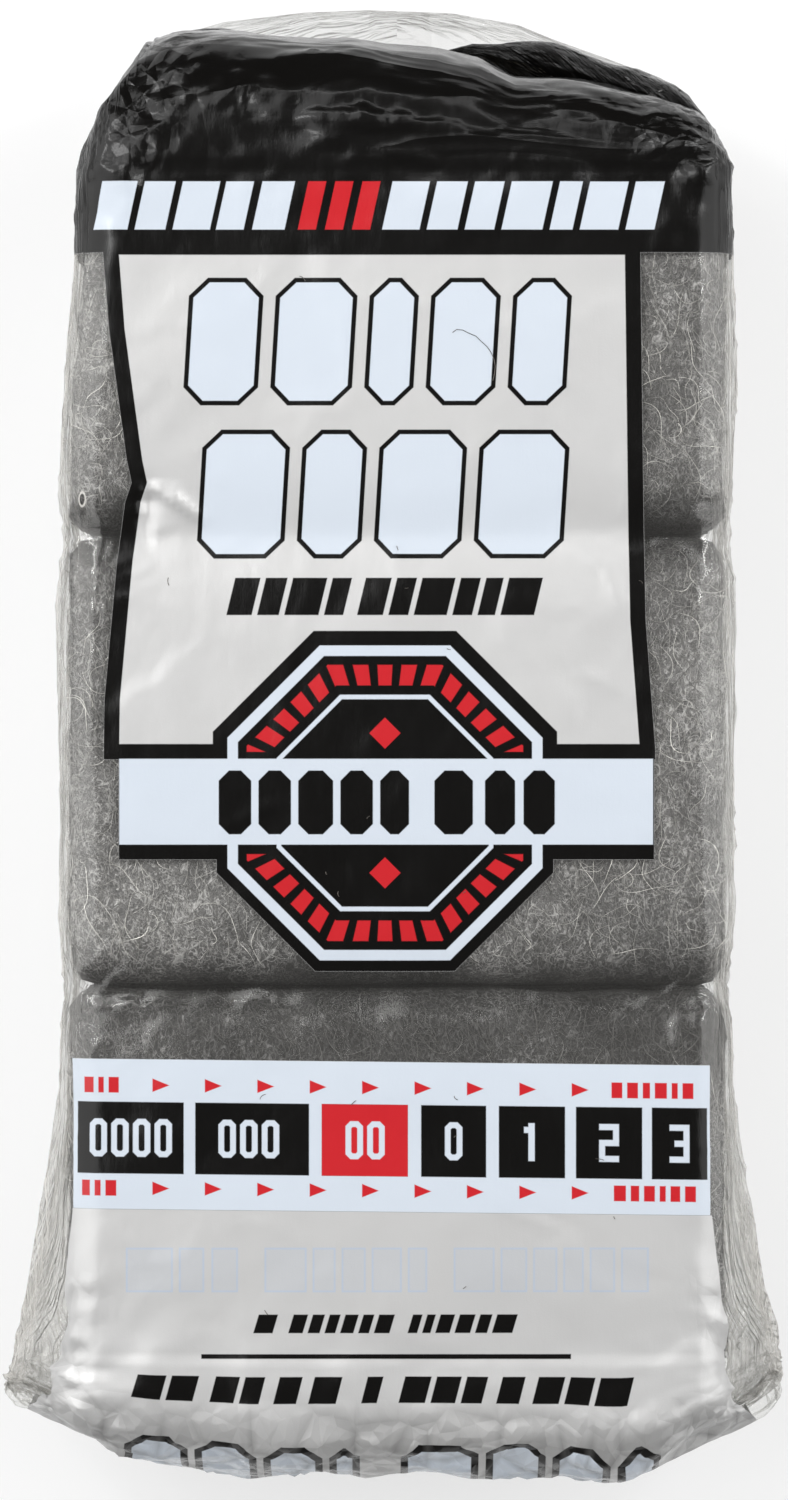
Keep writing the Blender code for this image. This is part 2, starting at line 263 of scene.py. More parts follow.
def layBag():
    # the smooth bag as a grid of points, with each point's place on the flat tube of film (x across,
    # y along) and its place on the print, which isn't stretched where the film widens or narrows
    s = bagShape
    rows, widths, along = [], [], []
    long = s["seamLong"]
    reachDown = -edgeHeight(bottomSeam, 0.0, long["bottom"]) + s["bottomStart"]
    reachUp = edgeHeight(frontEdge, 0.0, long["front"]) - s["topStart"]
    frontCount = sheetGrid["frontColumns"]
    foldCount = sheetGrid["foldColumns"]
    halfCount = frontCount + 2 * foldCount + sheetGrid["backColumns"]
    columnZone = np.arange(-halfCount, halfCount + 1)

    def addEnd(shares, lengths, startY, power, crest, tuck, startCrest, startGap, edges, leftDraw):
        for share, length in zip(shares, lengths):
            right = endSection(share, power, crest["right"], tuck["right"], startCrest, startGap, 0.0)
            left = endSection(share, power, crest["left"], tuck["left"], startCrest - leftDraw, startGap, leftDraw)
            ring, width = joinHalves(right, left)
            widths.append(width)
            x = ring[:, 0]
            front, fold, back = (edgeHeight(curve, x, stretch) for curve, stretch in edges)
            zone = np.abs(columnZone)
            edge = np.where(zone <= frontCount, front, np.where(zone <= frontCount + 2 * foldCount, fold, back))
            rows.append(np.column_stack([x, startY + (edge - startY) * share, ring[:, 1]]))
            along.append(startY + math.copysign(length, startY))

    bodyCrest = s["halfWidth"] + s["flareWidth"] * s["flareShare"]
    sideGap = s["depth"] / 2 - s["crestDrop"]
    ears = {"left": s["halfWidth"] + s["flareWidth"], "right": s["halfWidth"] + s["flareWidth"] * s["rightEar"]}
    shares, lengths = endRows(s["bottomPower"], sheetGrid["bottomRows"], reachDown)
    addEnd(shares[::-1], lengths[::-1], s["bottomStart"], s["bottomPower"], ears, earTuck, bodyCrest,
           sideGap * (1 - s["flareShare"]), [(bottomSeam, long["bottom"])] * 3, 0.0)
    for y in np.linspace(s["bottomStart"], s["topStart"], sheetGrid["bodyRows"] + 1):
        right, left = bodySection(y, "right"), bodySection(y, "left")
        ring, width = joinHalves(right, left)
        widths.append(width)
        rows.append(np.column_stack([ring[:, 0], np.full(len(ring), y), ring[:, 1]]))
        along.append(y)
    shares, lengths = endRows(s["topPower"], sheetGrid["topRows"], reachUp)
    addEnd(shares, lengths, s["topStart"], s["topPower"], topCrest, topTuck, s["halfWidth"], sideGap,
           [(frontEdge, long["front"]), (gussetEdge, long["front"]), (lipEdge, long["lip"])], s["leftDraw"])
    points = np.array(rows)
    across = halfSection(s["halfWidth"], s["depth"], 0.0, s["halfWidth"], sideGap, s["halfWidth"], 0.0)[1]
    across = np.concatenate([-across[::-1], across[1:]])
    flat = np.zeros(points.shape[:2] + (2,))
    flat[..., 0] = across[None, :]
    flat[..., 1] = np.array(along)[:, None]
    inkPlace = flat.copy()
    inkPlace[..., 0] = np.array(widths)
    return points, flat, inkPlace


def gridNormals(points):
    around = np.concatenate([points[:, -2:-1], points, points[:, 1:2]], axis=1)
    du = (around[:, 2:] - around[:, :-2]) / 2
    dv = np.gradient(points, axis=0)
    normals = np.cross(du, dv)
    return normals / np.maximum(np.linalg.norm(normals, axis=2, keepdims=True), 1e-9)


# Wrinkles: where the film is pushed up or down, in millimetres along its own normal

creases = [
    # (x, y) places on the flat film, width, height of the fold
    ([(-31.0, 105.5), (-10.0, 106.6), (19.0, 104.2)], 1.1, -0.55),
    ([(-27.0, 103.6), (-4.0, 104.6), (30.0, 102.4)], 0.9, 0.5),
    ([(-38.0, 111.0), (-20.0, 115.5), (0.0, 119.0)], 0.8, 0.45),
    ([(-37.5, 104.5), (-30.0, 109.5), (-22.0, 113.0)], 0.7, 0.5),
    ([(-36.0, 113.0), (-29.0, 108.0), (-27.0, 104.0)], 0.6, -0.5),
    ([(-34.0, 117.0), (-31.5, 110.0), (-33.5, 105.0)], 0.6, 0.45),
    ([(-26.0, 99.0), (-8.0, 101.0), (5.0, 98.5)], 0.9, 0.35),
    ([(-12.0, 96.5), (2.0, 99.5), (10.0, 97.0)], 0.7, 0.4),
    ([(15.0, 118.0), (30.0, 113.0), (48.0, 110.0)], 0.8, 0.55),
    ([(18.0, 114.0), (33.0, 110.0), (49.0, 105.5)], 0.7, 0.45),
    ([(22.0, 121.0), (36.0, 114.5), (50.0, 108.5)], 0.7, -0.4),
    ([(-41.5, 43.2), (-37.0, 40.9), (-33.2, 38.2)], 1.0, 1.0),
    ([(-46.0, 46.0), (-41.6, 43.0), (-43.5, 35.0)], 1.1, -1.2),
    ([(-45.4, 45.6), (-43.0, 43.8), (-41.6, 42.4)], 0.8, 0.9),
    ([(-52.5, 43.0), (-55.0, 58.0), (-54.5, 80.0)], 1.0, 0.7),
    ([(-52.0, 40.5), (-50.5, 22.0), (-52.0, -8.0)], 1.0, 0.6),
    ([(-50.0, 46.0), (-43.0, 42.8), (-36.0, 43.6)], 0.7, 0.5),
    ([(-55.0, -88.0), (-48.0, -97.0), (-46.0, -104.0)], 0.9, 0.5),
    ([(-52.0, -83.0), (-47.0, -91.0), (-44.0, -101.0)], 0.7, 0.35),
    ([(50.0, -86.0), (44.0, -98.0), (49.0, -109.0)], 0.9, 0.7),
    ([(54.0, -93.0), (47.0, -100.0), (43.0, -112.0)], 0.8, -0.6),
    ([(56.0, -102.0), (48.0, -104.0), (38.0, -113.0)], 0.8, 0.7),
    ([(30.0, -112.0), (6.0, -116.5), (-18.0, -116.0)], 0.9, 0.5),
    ([(40.0, -107.0), (22.0, -112.5), (2.0, -114.0)], 0.7, 0.35),
    ([(-50.0, -108.0), (-40.0, -113.5), (-22.0, -118.0)], 0.9, 0.55),
    ([(-56.0, -94.0), (-48.0, -103.0), (-36.0, -109.0)], 1.5, 1.0),
    ([(-54.0, -100.0), (-46.0, -110.0), (-40.0, -119.0)], 1.3, -0.8),
    ([(57.0, -95.0), (49.0, -106.0), (45.0, -118.0)], 1.5, 1.1),
    ([(54.0, -88.0), (51.0, -98.0), (40.0, -103.0)], 1.2, -0.7),
    ([(52.0, -112.0), (40.0, -111.0), (24.0, -114.5)], 1.2, 0.8),
    ([(10.0, -72.0), (24.0, -82.0), (30.0, -98.0)], 0.7, 0.16),
    ([(-10.0, -79.0), (-4.0, -98.0), (-9.0, -112.0)], 0.9, 0.2),
    ([(-49.5, -41.4), (-44.0, -41.9), (-38.5, -42.4)], 0.6, 0.75),
    ([(-34.0, -41.9), (-25.0, -42.1), (-15.5, -42.6)], 0.55, 0.7),
    ([(-34.5, -35.3), (-32.0, -35.0), (-30.0, -35.6)], 0.5, 0.4),
    ([(2.0, -41.4), (5.0, -41.7), (7.5, -41.5)], 0.5, 0.35),
    ([(-5.0, -44.0), (8.0, -46.5), (22.0, -45.0)], 1.3, 0.3),
    ([(20.0, -41.0), (33.0, -44.5), (46.0, -43.0)], 1.2, 0.35),
    ([(28.0, 36.0), (36.0, 30.0), (38.0, 22.0)], 1.6, 0.3),
    ([(27.0, 18.0), (33.0, 12.0), (38.0, 9.0)], 1.6, 0.25),
]

puncture = (-52.3, 41.5, 0.45, 0.9)


def waves(points, seed, scale, octaves=3):
    # smooth repeatable unevenness from sums of sines
    rng = np.random.default_rng(seed)
    total = np.zeros(points.shape[:-1])
    for octave in range(octaves):
        for _ in range(5):
            direction = rng.normal(size=points.shape[-1])
            direction *= 2 * math.pi / scale * 1.9**octave / np.linalg.norm(direction) * rng.uniform(0.7, 1.3)
            total += np.sin(points @ direction + rng.uniform(0, 6.28)) * 0.36 / 1.7**octave
    return total


def ridges(flat, seed, across, along, octaves=2, sharp=1.6):
    # thin raised lines between flatter patches, stretched along one way
    wave = waves(flat / np.array([across, along]), seed, 1.0, octaves)
    return np.clip(1 - np.abs(wave) / 0.75, 0, 1) ** sharp


def facets(flat, seed, size):
    # flat triangles between random heights, as in film that was crushed and drawn tight again
    heights = np.random.default_rng(seed).uniform(-1, 1, (64, 64))
    bend = np.stack([waves(flat, seed + 1, size * 3.1), waves(flat, seed + 2, size * 3.1)], axis=-1) * size * 0.35
    place = (flat + bend) / size
    u = place[..., 0] + 0.577 * place[..., 1]
    v = 1.155 * place[..., 1]
    i, j = np.floor(u).astype(int), np.floor(v).astype(int)
    u, v = u - i, v - j
    corner = [[heights[(i + a) % 64, (j + b) % 64] for b in (0, 1)] for a in (0, 1)]
    return np.where(u > v, corner[0][0] + (corner[1][0] - corner[0][0]) * u + (corner[1][1] - corner[1][0]) * v,
                    corner[0][0] + (corner[0][1] - corner[0][0]) * v + (corner[1][1] - corner[0][1]) * u)


def creaseLift(flat):
    lift = np.zeros(flat.shape[:-1])
    bend = np.stack([waves(flat, 5, 9.0), waves(flat, 6, 9.0)], axis=-1) * 0.7
    place = flat + bend
    for path, width, height in creases:
        nearest = np.full(flat.shape[:-1], 1e9)
        share = np.zeros(flat.shape[:-1])
        for k, (start, end) in enumerate(zip(path, path[1:])):
            start, end = np.array(start), np.array(end)
            run = end - start
            t = np.clip(((place - start) @ run) / (run @ run), 0, 1)
            away = np.linalg.norm(place - start - t[..., None] * run, axis=-1)
            share = np.where(away < nearest, (k + t) / (len(path) - 1), share)
            nearest = np.minimum(nearest, away)
        lift += height * np.exp(-np.abs(nearest / width) ** 1.25) * np.sin(np.pi * np.clip(share, 0.04, 0.96)) ** 0.6
    return lift


def near(value, middle, reach):
    return np.exp(-(((value - middle) / reach) ** 2))


def wrinkleFilm(points, flat):
    # pleats down the sides, calm waves over the front, crushed facets at the ends and corners, and the creases
    x, y = flat[..., 0], flat[..., 1]
    side = np.abs(x)
    bent = flat.copy()
    bent[..., 0] += waves(flat / np.array([1.0, 2.0]), 11, 26.0) * 2.2
    bent[..., 1] += waves(flat, 12, 30.0) * 4.0
    onSide = smoothStep((side - 50.0) / 9.0) * (1 - smoothStep((side - 118.0) / 14.0))
    onBack = smoothStep((side - 112.0) / 14.0)
    onCap = smoothStep((y - 84.0) / 12.0) * (1 - onSide) * (1 - onBack)
    low = smoothStep((-70.0 - y) / 26.0)
    pleats = ridges(bent, 21, 11.0, 150.0, 1) * 0.6 + ridges(bent, 22, 6.0, 90.0, 2, sharp=2.4) * 0.5
    pleats += ridges(bent, 34, 3.2, 50.0, 1, sharp=2.0) * 0.2
    lift = onSide * (pleats * (0.8 - 0.3 * low) - 0.25 + facets(flat, 51, 17.0) * 0.22)
    body = smoothStep((y + 104.0) / 20.0) * smoothStep((98.0 - y) / 14.0)
    for fold, height in ((61.4, 0.5), (88.4, -0.7), (115.5, 0.5)):
        lift += height * body * np.exp(-np.abs(side - fold) / 0.9)
    lift += onBack * (ridges(bent, 23, 26.0, 60.0, 1) * 0.5 + waves(bent, 24, 34.0) * 0.15)
    lift += smoothStep((side - side.max() + bagShape["lapWidth"]) / 0.9) * 0.45
    lift += onCap * (ridges(bent, 25, 60.0, 15.0, 1, sharp=2.6) * 0.16
                     + waves(bent / np.array([2.2, 1.0]), 26, 20.0, 2) * 0.1)
    calm = (1 - onSide) * (1 - onBack)
    lift += calm * (waves(bent, 27, 42.0, 2) * 0.16 + ridges(bent, 28, 44.0, 60.0, sharp=3.0) * 0.10)
    rowEdge = sum(near(y, gap, 10.0) for gap in bagShape["rowGaps"])
    lift += rowEdge * smoothStep((side - 30.0) / 20.0) * (1 - onBack) * ridges(bent, 29, 24.0, 7.0, sharp=2.0) * 0.5
    lowerPanel = smoothStep((-86.0 - y) / 16.0) * (1 - onBack)
    edgeward = smoothStep((side - 22.0) / 26.0)
    lift += lowerPanel * ridges(bent, 30, 22.0, 16.0, sharp=1.5) * (0.1 + 0.5 * edgeward)
    corner = np.exp(-(((side - 49.0) / 9.0) ** 2) - ((y + 106.0) / 16.0) ** 2)
    lift += corner * (facets(flat, 52, 9.0) * 2.3 + facets(flat, 55, 4.6) * 0.9 + 0.2)
    lift += lowerPanel * (facets(flat, 58, 15.0) * 0.3 + waves(bent, 35, 24.0, 2) * 0.12)
    lift += lowerPanel * (0.12 + 0.88 * edgeward**2) * (1 - onSide) * facets(flat, 61, 7.0) * 1.0
    lift += onCap * (facets(flat / np.array([2.2, 1.0]), 64, 9.0) * 0.4 + facets(flat, 67, 6.5) * 0.1)
    lift += calm * facets(flat, 70, 26.0) * 0.16
    wall = smoothStep((-112.0 - y) / 8.0) * (1 - onBack)
    lift += wall * (ridges(bent, 32, 36.0, 11.0, 2, sharp=1.4) * 0.6 + facets(flat, 79, 8.0) * 1.0)
    topCorner = np.exp(-(((side - 50.0) / 9.0) ** 2) - ((y - 104.0) / 15.0) ** 2)
    lift += topCorner * (facets(flat, 73, 6.0) * 1.1 + facets(flat, 76, 3.4) * 0.45)
    lift += creaseLift(flat) * (1 - onBack)
    # the last few millimetres before the seals stay close together
    rows = np.arange(flat.shape[0])[:, None]
    toEnd = np.minimum(rows, flat.shape[0] - 1 - rows)
    frontLayer = side < 62   # the front ends in the seal itself; the other layers end just inside it
    held = np.where(frontLayer, np.clip(toEnd / 6.0, 0.15, 1), np.clip((toEnd - 2) / 14.0, 0, 1))
    lift = lift * held
    return points + gridNormals(points) * lift[..., None]


# Squeeze of the wool where the film closes over the pack's two ends

woolFit = {
    "seamLong": 1.012,
    "farthest": 0.98,   # share of an end's length that wool may fill
    "under": 0.6,       # between the wool and the film, front and back
    "least": 0.4,       # half the depth left at the seal
    "side": 1.4,
}


def squeezeIntoEnds(points):
    # points in millimetres; the pack's depth and width shrink towards the ends as the film's do
    s, fit = bagShape, woolFit
    x, y, z = points.T.copy()
    middle = s["depth"] / 2
    ends = ((s["bottomStart"], s["bottomPower"], bottomSeam), (s["topStart"], s["topPower"], frontEdge))
    for start, power, curve in ends:
        reach = edgeHeight(curve, x, fit["seamLong"]) - start
        share = np.clip((y - start) / reach, 0, fit["farthest"])
        height = (1 - share**power) ** (1 / power)
        room = (middle - 2 * fit["under"]) * height + fit["least"]
        z = middle + (z - middle) * np.minimum(room / (middle - fit["under"]), 1)
        if start > 0:
            drawn = s["leftDraw"] * smoothStep((y - s["drawStart"]) / (start - s["drawStart"]))
            for side, sign in (("left", -1), ("right", 1)):
                body = s["halfWidth"] - (drawn if sign < 0 else 0.0)
                halfWidth = body + (topCrest[side] - body) * share**1.3
                narrowed = np.minimum((halfWidth - fit["side"]) / (s["halfWidth"] - fit["side"]), 1)
                x = np.where(x * sign > 0, x * narrowed, x)
    return np.column_stack([x, y, z])


def keepInside(mesh, surface, clearance, searchReach=0.006):
    # moves a mesh's points that reach through the film back under it
    places = readRows(mesh.vertices, "co")
    for i, place in enumerate(places):
        hit, normal, _, _ = surface.find_nearest(Vector(place), searchReach)
        if hit is not None and (Vector(place) - hit).dot(normal) > -clearance:
            places[i] = hit - normal * clearance
    mesh.vertices.foreach_set("co", places.ravel())
    mesh.update()


# Node helper: adds nodes to one tree, and the values that come out of them are used in plain sums

class Value:
    def __init__(self, bench, socket):
        self.bench, self.socket = bench, socket

    def __add__(self, other):
        return self.bench.calc("ADD", self, other)

    def __sub__(self, other):
        return self.bench.calc("SUBTRACT", self, other)

    def __rsub__(self, other):
        return self.bench.calc("SUBTRACT", other, self)

    def __mul__(self, other):
        return self.bench.calc("MULTIPLY", self, other)

    def __truediv__(self, other):
        return self.bench.calc("DIVIDE", self, other)

    def __pow__(self, power):
        return self.bench.calc("POWER", self, power)

    def __abs__(self):
        return self.bench.calc("ABSOLUTE", self)

    __radd__ = __add__
    __rmul__ = __mul__

    def clipped(self):
        # keeps the sum between 0 and 1
        self.socket.node.use_clamp = True
        return self


class NodeBench:
    def __init__(self, tree):
        self.tree = tree

    def add(self, kind, inputs=None, **settings):
        node = self.tree.nodes.new(kind)
        for name, value in settings.items():
            setattr(node, name, value)
        for key, value in (inputs or {}).items():
            if isinstance(value, Value):
                self.tree.links.new(value.socket, node.inputs[key])
            else:
                node.inputs[key].default_value = value
        return node

    def take(self, kind, inputs=None, output=0, **settings):
        # one output of a new node
        return Value(self, self.add(kind, inputs, **settings).outputs[output])

    def calc(self, operation, *values):
        return self.take("ShaderNodeMath", dict(enumerate(values)), operation=operation)

    def ramp(self, value, stops):
        # the colour at a value, between (place, colour) stops
        node = self.add("ShaderNodeValToRGB", {0: value})
        elements = node.color_ramp.elements
        while len(elements) < len(stops):
            elements.new(0.5)
        for element, (place, _) in zip(elements, stops):
            element.position = place
        for element, (_, colour) in zip(elements, stops):
            element.color = (*colour, 1.0)
        return Value(self, node.outputs[0])

    def chart(self, value, points):
        # a number read off straight lines between (input, output) points
        xs, ys = zip(*points)
        low, high = min(ys), max(ys)
        place = self.take("ShaderNodeMapRange", {0: value, 1: xs[0], 2: xs[-1]})
        stops = [((x - xs[0]) / (xs[-1] - xs[0]), ((y - low) / (high - low),) * 3) for x, y in points]
        return self.ramp(place, stops) * (high - low) + low

    def within(self, value, low, high):
        # how far inside a span a value lies, below zero outside it
        return (high - low) / 2 - abs(value - (low + high) / 2)

    def row(self, value, spans, margin=3.0):
        # the same for several spans in a row
        points = [(spans[0][0] - margin, -margin)]
        for i, (low, high) in enumerate(spans):
            points.append(((low + high) / 2, (high - low) / 2))
            if i + 1 < len(spans):
                gap = spans[i + 1][0] - high
                points.append((high + gap / 2, -gap / 2))
        points.append((spans[-1][1] + margin, -margin))
        return self.chart(value, points)

    def least(self, first, *others):
        for other in others:
            first = self.calc("MINIMUM", first, other)
        return first

    def most(self, first, *others):
        for other in others:
            first = self.calc("MAXIMUM", first, other)
        return first

    def edge(self, distance, soft=0.07):
        # 1 where a distance is above zero and 0 below, with a soft edge
        return (distance * (0.5 / soft) + 0.5).clipped()

    def noise(self, vector, scale, detail=2.0, roughness=0.5, distortion=0.0):
        return self.take("ShaderNodeTexNoise", {"Vector": vector, "Scale": scale, "Detail": detail,
                                                "Roughness": roughness, "Distortion": distortion})

    def lines(self, vector, scale, detail, roughness, distortion, thin):
        # thin winding lines, 1 along their middles
        return (1.0 - abs(self.noise(vector, scale, detail, roughness, distortion) - 0.5) * thin).clipped()

    def stretch(self, vector, x=1.0, y=1.0, z=1.0):
        return self.take("ShaderNodeVectorMath", {0: vector, 1: (x, y, z)}, operation="MULTIPLY")

    def blend(self, factor, first, second):
        return self.take("ShaderNodeMix", {0: factor, 6: first, 7: second}, 2, data_type="RGBA")

    def between(self, factor, first, second):
        return self.take("ShaderNodeMix", {0: factor, 2: first, 3: second}, data_type="FLOAT")

    def mix(self, factor, first, second):
        return self.take("ShaderNodeMixShader", {0: factor, 1: first, 2: second})


def newMaterial(name):
    material = bpy.data.materials.new(name)
    material.use_nodes = True
    material.node_tree.nodes.clear()
    return material, NodeBench(material.node_tree)


# Film print: colours and places of the print, on the flat film

inks = {
    "black": (0.0038, 0.0035, 0.0032, 1.0),
    "silver": (0.555, 0.553, 0.55, 1.0),
    "white": (0.55, 0.60, 0.665, 1.0),
    "red": (0.50, 0.018, 0.024, 1.0),
    "border": (0.58, 0.52, 0.38, 1.0),
    "faint": (0.46, 0.53, 0.64, 1.0),
}

printPlan = {
    "capBottom": 82.4,
    "capBackEdge": 115.4,     # across the flat tube, where the cap's ink ends on the back
    "border": 0.55,           # width of the line along the filled end
    "frame": 2.6,
    "frameAlong": (-1.8, 86.0),
    "panelLeft": [(0.0, -46.1), (8.1, -46.0), (31.4, -43.9), (41.0, -42.6), (44.2, -41.5), (48.0, -42.3),
                  (69.6, -45.2), (84.0, -46.3)],
    "panelRight": [(0.0, 40.3), (21.4, 38.7), (44.7, 38.3), (84.0, 37.8)],
    "panelAlong": (0.8, 82.0),
    "blockOutline": 0.78,
    "bandAcross": (-46.1, 42.5),
    "bandAlong": (-15.9, -1.66),
    "bandLinesAlong": (-18.4, 1.2),
    "stripAcross": (-54.2, 52.0),
    "stripAlong": (-76.9, -52.0),
    "stripTilt": 0.011,
    "redBox": (-12.5, 1.8),
    "arrows": {"first": -39.2, "step": 8.7, "count": 9, "rows": (-56.3, -73.4), "half": 1.4, "slope": 0.4},
    "lowerBottom": -190.0,
    "lowerSides": [(-125.0, 7.5), (-104.0, 4.6), (-90.0, 2.4), (-76.9, 0.2), (-70.0, 0.2)],
    "rule": ((-32.5, 28.9), (-101.3, -100.5)),
    "underOutline": 1.25,
    "faintFill": 0.2,
    "faintLine": 0.85,
    "faintOutline": 0.3,
}

badge = {   # an octagon with two rings, dashes and two diamonds; lengths out from its middle
    "x": -2.0, "y": -9.0, "reach": 27.985, "gap": 0.6, "ring": (24.4145, 26.1515), "innerRing": (17.225, 17.975),
    "dashes": (19.53, 22.93), "dashCount": 36, "dashHalf": 0.31, "dashClear": 8.5, "diamond": 2.6, "diamondAway": 11.6,
}

digitBox = {"low": -68.2, "high": -61.9, "width": 3.3, "stroke": 0.95}
zeroMiddles = [-49.6, -46.0, -42.4, -38.8, -28.2, -24.6, -21.0, -7.1, -3.5, 9.4]
digitBars = {   # middle of each digit, and its bars as (left, right, bottom, top) in shares of its box
    22.4: [(0.32, 0.64, 0, 1), (0.1, 0.5, 0.74, 0.9)],
    35.2: [(0, 1, 0.84, 1), (0.7, 1, 0.42, 1), (0, 1, 0.42, 0.58), (0, 0.3, 0, 0.58), (0, 1, 0, 0.16)],
    46.9: [(0, 1, 0.84, 1), (0.7, 1, 0, 1), (0.25, 1, 0.42, 0.58), (0, 1, 0, 0.16)],
}

blockRows = {   # blocks' spans across, bottom, top, lean to the right, and how much their corners are clipped
    "capBars": ([(-49.6, -43.9), (-42.7, -37.6), (-36.4, -30.2), (-29.2, -24.6), (-23.2, -17.8), (-1.6, 4.6),
                 (5.8, 10.9), (12.1, 17.0), (18.2, 25.0), (26.2, 30.0), (31.2, 37.6), (38.8, 43.6)],
                86.2, 94.2, 0.22, 0),
    "redCapBars": ([(-15.6, -12.6), (-11.1, -8.1), (-6.6, -3.6)], 86.2, 94.2, 0.22, 0),
    "topBlocks": ([(-35.0, -22.6), (-20.6, -7.0), (-5.0, 3.2), (5.2, 16.8), (18.8, 28.6)], 57.0, 78.2, 0.06, 3.0),
    "nextBlocks": ([(-32.8, -18.2), (-16.2, -5.4), (-3.4, 11.2), (13.2, 28.2)], 31.6, 53.0, 0.06, 3.0),
    "shortBars": ([(-27.6, -23.4), (-22.5, -18.9), (-18.0, -12.3), (-11.4, -8.2), (-5.9, -1.6), (-0.7, 2.6),
                   (3.5, 9.0), (9.9, 13.2), (14.1, 17.0), (17.9, 23.5)], 22.2, 28.4, 0.24, 0),
    "bandBlocks": ([(-29.6, -24.2), (-23.0, -17.6), (-16.4, -10.6), (-9.4, -4.0), (-2.8, 2.0), (6.2, 12.6),
                    (14.6, 19.6), (21.0, 26.2)], -14.2, -3.6, 0, 1.7),
    "boxes": ([(-53.3, -35.4), (-33.5, -14.6), (-12.5, 1.8), (4.0, 14.8), (16.9, 27.9), (29.7, 40.7),
               (42.3, 51.5)], -71.0, -59.1, 0, 0),
    "zeros": ([(middle - 1.45, middle + 1.45) for middle in zeroMiddles], digitBox["low"], digitBox["high"], 0, 0.8),
    "upperMarks": ([(-52.0, -50.4), (-49.6, -48.7), (-47.9, -46.2), (35.6, 37.4), (38.2, 40.0), (40.8, 42.0),
                    (42.8, 44.8), (45.6, 46.6), (47.4, 49.2)], -57.6, -55.0, 0, 0),
    "lowerMarks": ([(-52.4, -51.0), (-50.2, -49.2), (-48.4, -46.6), (36.0, 38.0), (38.8, 40.2), (41.0, 42.8),
                    (43.6, 44.6), (45.4, 47.0), (47.8, 49.6)], -74.7, -72.1, 0, 0),
    "faintRow": ([(-45.0, -37.2), (-36.2, -32.0), (-30.8, -26.4), (-22.0, -15.0), (-14.0, -10.2), (-9.2, -5.2),
                  (-4.2, 0.8), (1.8, 5.0), (9.4, 16.2), (17.2, 21.6), (22.6, 26.6), (27.6, 31.0), (32.0, 36.2),
                  (37.2, 41.8)], -90.2, -82.8, 0, 0),
    "thinRow": ([(-23.4, -20.2), (-17.6, -15.2), (-14.4, -12.4), (-11.6, -9.8), (-9.0, -6.8), (-6.0, -4.2),
                 (-3.4, -0.8), (2.2, 3.8), (4.6, 6.0), (6.8, 9.2), (10.0, 12.6), (13.4, 15.4), (16.2, 19.6)],
                -97.0, -93.9, 0.3, 0),
    "slantedRow": ([(-43.6, -38.8), (-37.9, -33.4), (-30.6, -26.6), (-25.7, -22.4), (-20.0, -16.2), (-14.2, -9.6),
                    (-5.4, -2.8), (0.8, 5.2), (6.1, 10.2), (11.1, 14.6), (17.0, 20.8), (23.0, 27.4), (28.3, 32.4),
                    (33.3, 38.8)], -108.6, -104.2, 0.26, 0),
    "underBlocks": ([(-45.2, -34.9), (-33.8, -23.4), (-22.3, -12.4), (-11.3, -6.2), (0.6, 13.6), (14.8, 24.8),
                     (25.9, 35.6), (36.7, 43.6)], -151.0, -115.8, 0, 3.0),
}


def blockRow(bench, x, y, name):
    # how far inside a row of blocks a place lies
    spans, low, high, lean, clip = blockRows[name]
    across = bench.row(x - (y - (low + high) / 2) * lean if lean else x, spans)
    along = bench.within(y, low, high)
    inside = bench.least(across, along)
    return bench.least(inside, (across + along - clip) * 0.707) if clip else inside


def barDigits(bench, x, y):
    bars = []
    low, height, width = digitBox["low"], digitBox["high"] - digitBox["low"], digitBox["width"]
    for middle, shares in digitBars.items():
        for left, right, bottom, top in shares:
            bars.append(bench.least(bench.within(x, middle + (left - 0.5) * width, middle + (right - 0.5) * width),
                                    bench.within(y, low + bottom * height, low + top * height)))
    return bench.most(*bars)


def badgeShapes(bench, x, y):
    b = badge
    dx, dy = abs(x - b["x"]), abs(y - b["y"])
    out = bench.most(dx, dy, (dx + dy) * 0.7071)
    turn = bench.calc("ARCTAN2", y - b["y"], x - b["x"])
    ticks = abs(bench.calc("WRAP", turn * (b["dashCount"] / 2 / math.pi), 0.5, -0.5))
    dashes = bench.least(bench.within(out, *b["dashes"]), (b["dashHalf"] - ticks) * 3.4, dy - b["dashClear"])
    diamonds = b["diamond"] - (dx + abs(dy - b["diamondAway"]))
    return b["reach"] - out, bench.within(out, *b["ring"]), bench.within(out, *b["innerRing"]), dashes, diamonds


def arrowShapes(bench, x, y):
    a = printPlan["arrows"]
    place = bench.calc("WRAP", x - a["first"], a["step"] / 2, -a["step"] / 2)
    away = bench.least(*[abs(y - row) for row in a["rows"]])
    return bench.least(place + a["half"], (a["half"] - place) * a["slope"] - away,
                       bench.within(x, a["first"] - 2, a["first"] + a["step"] * (a["count"] - 1) + 2))


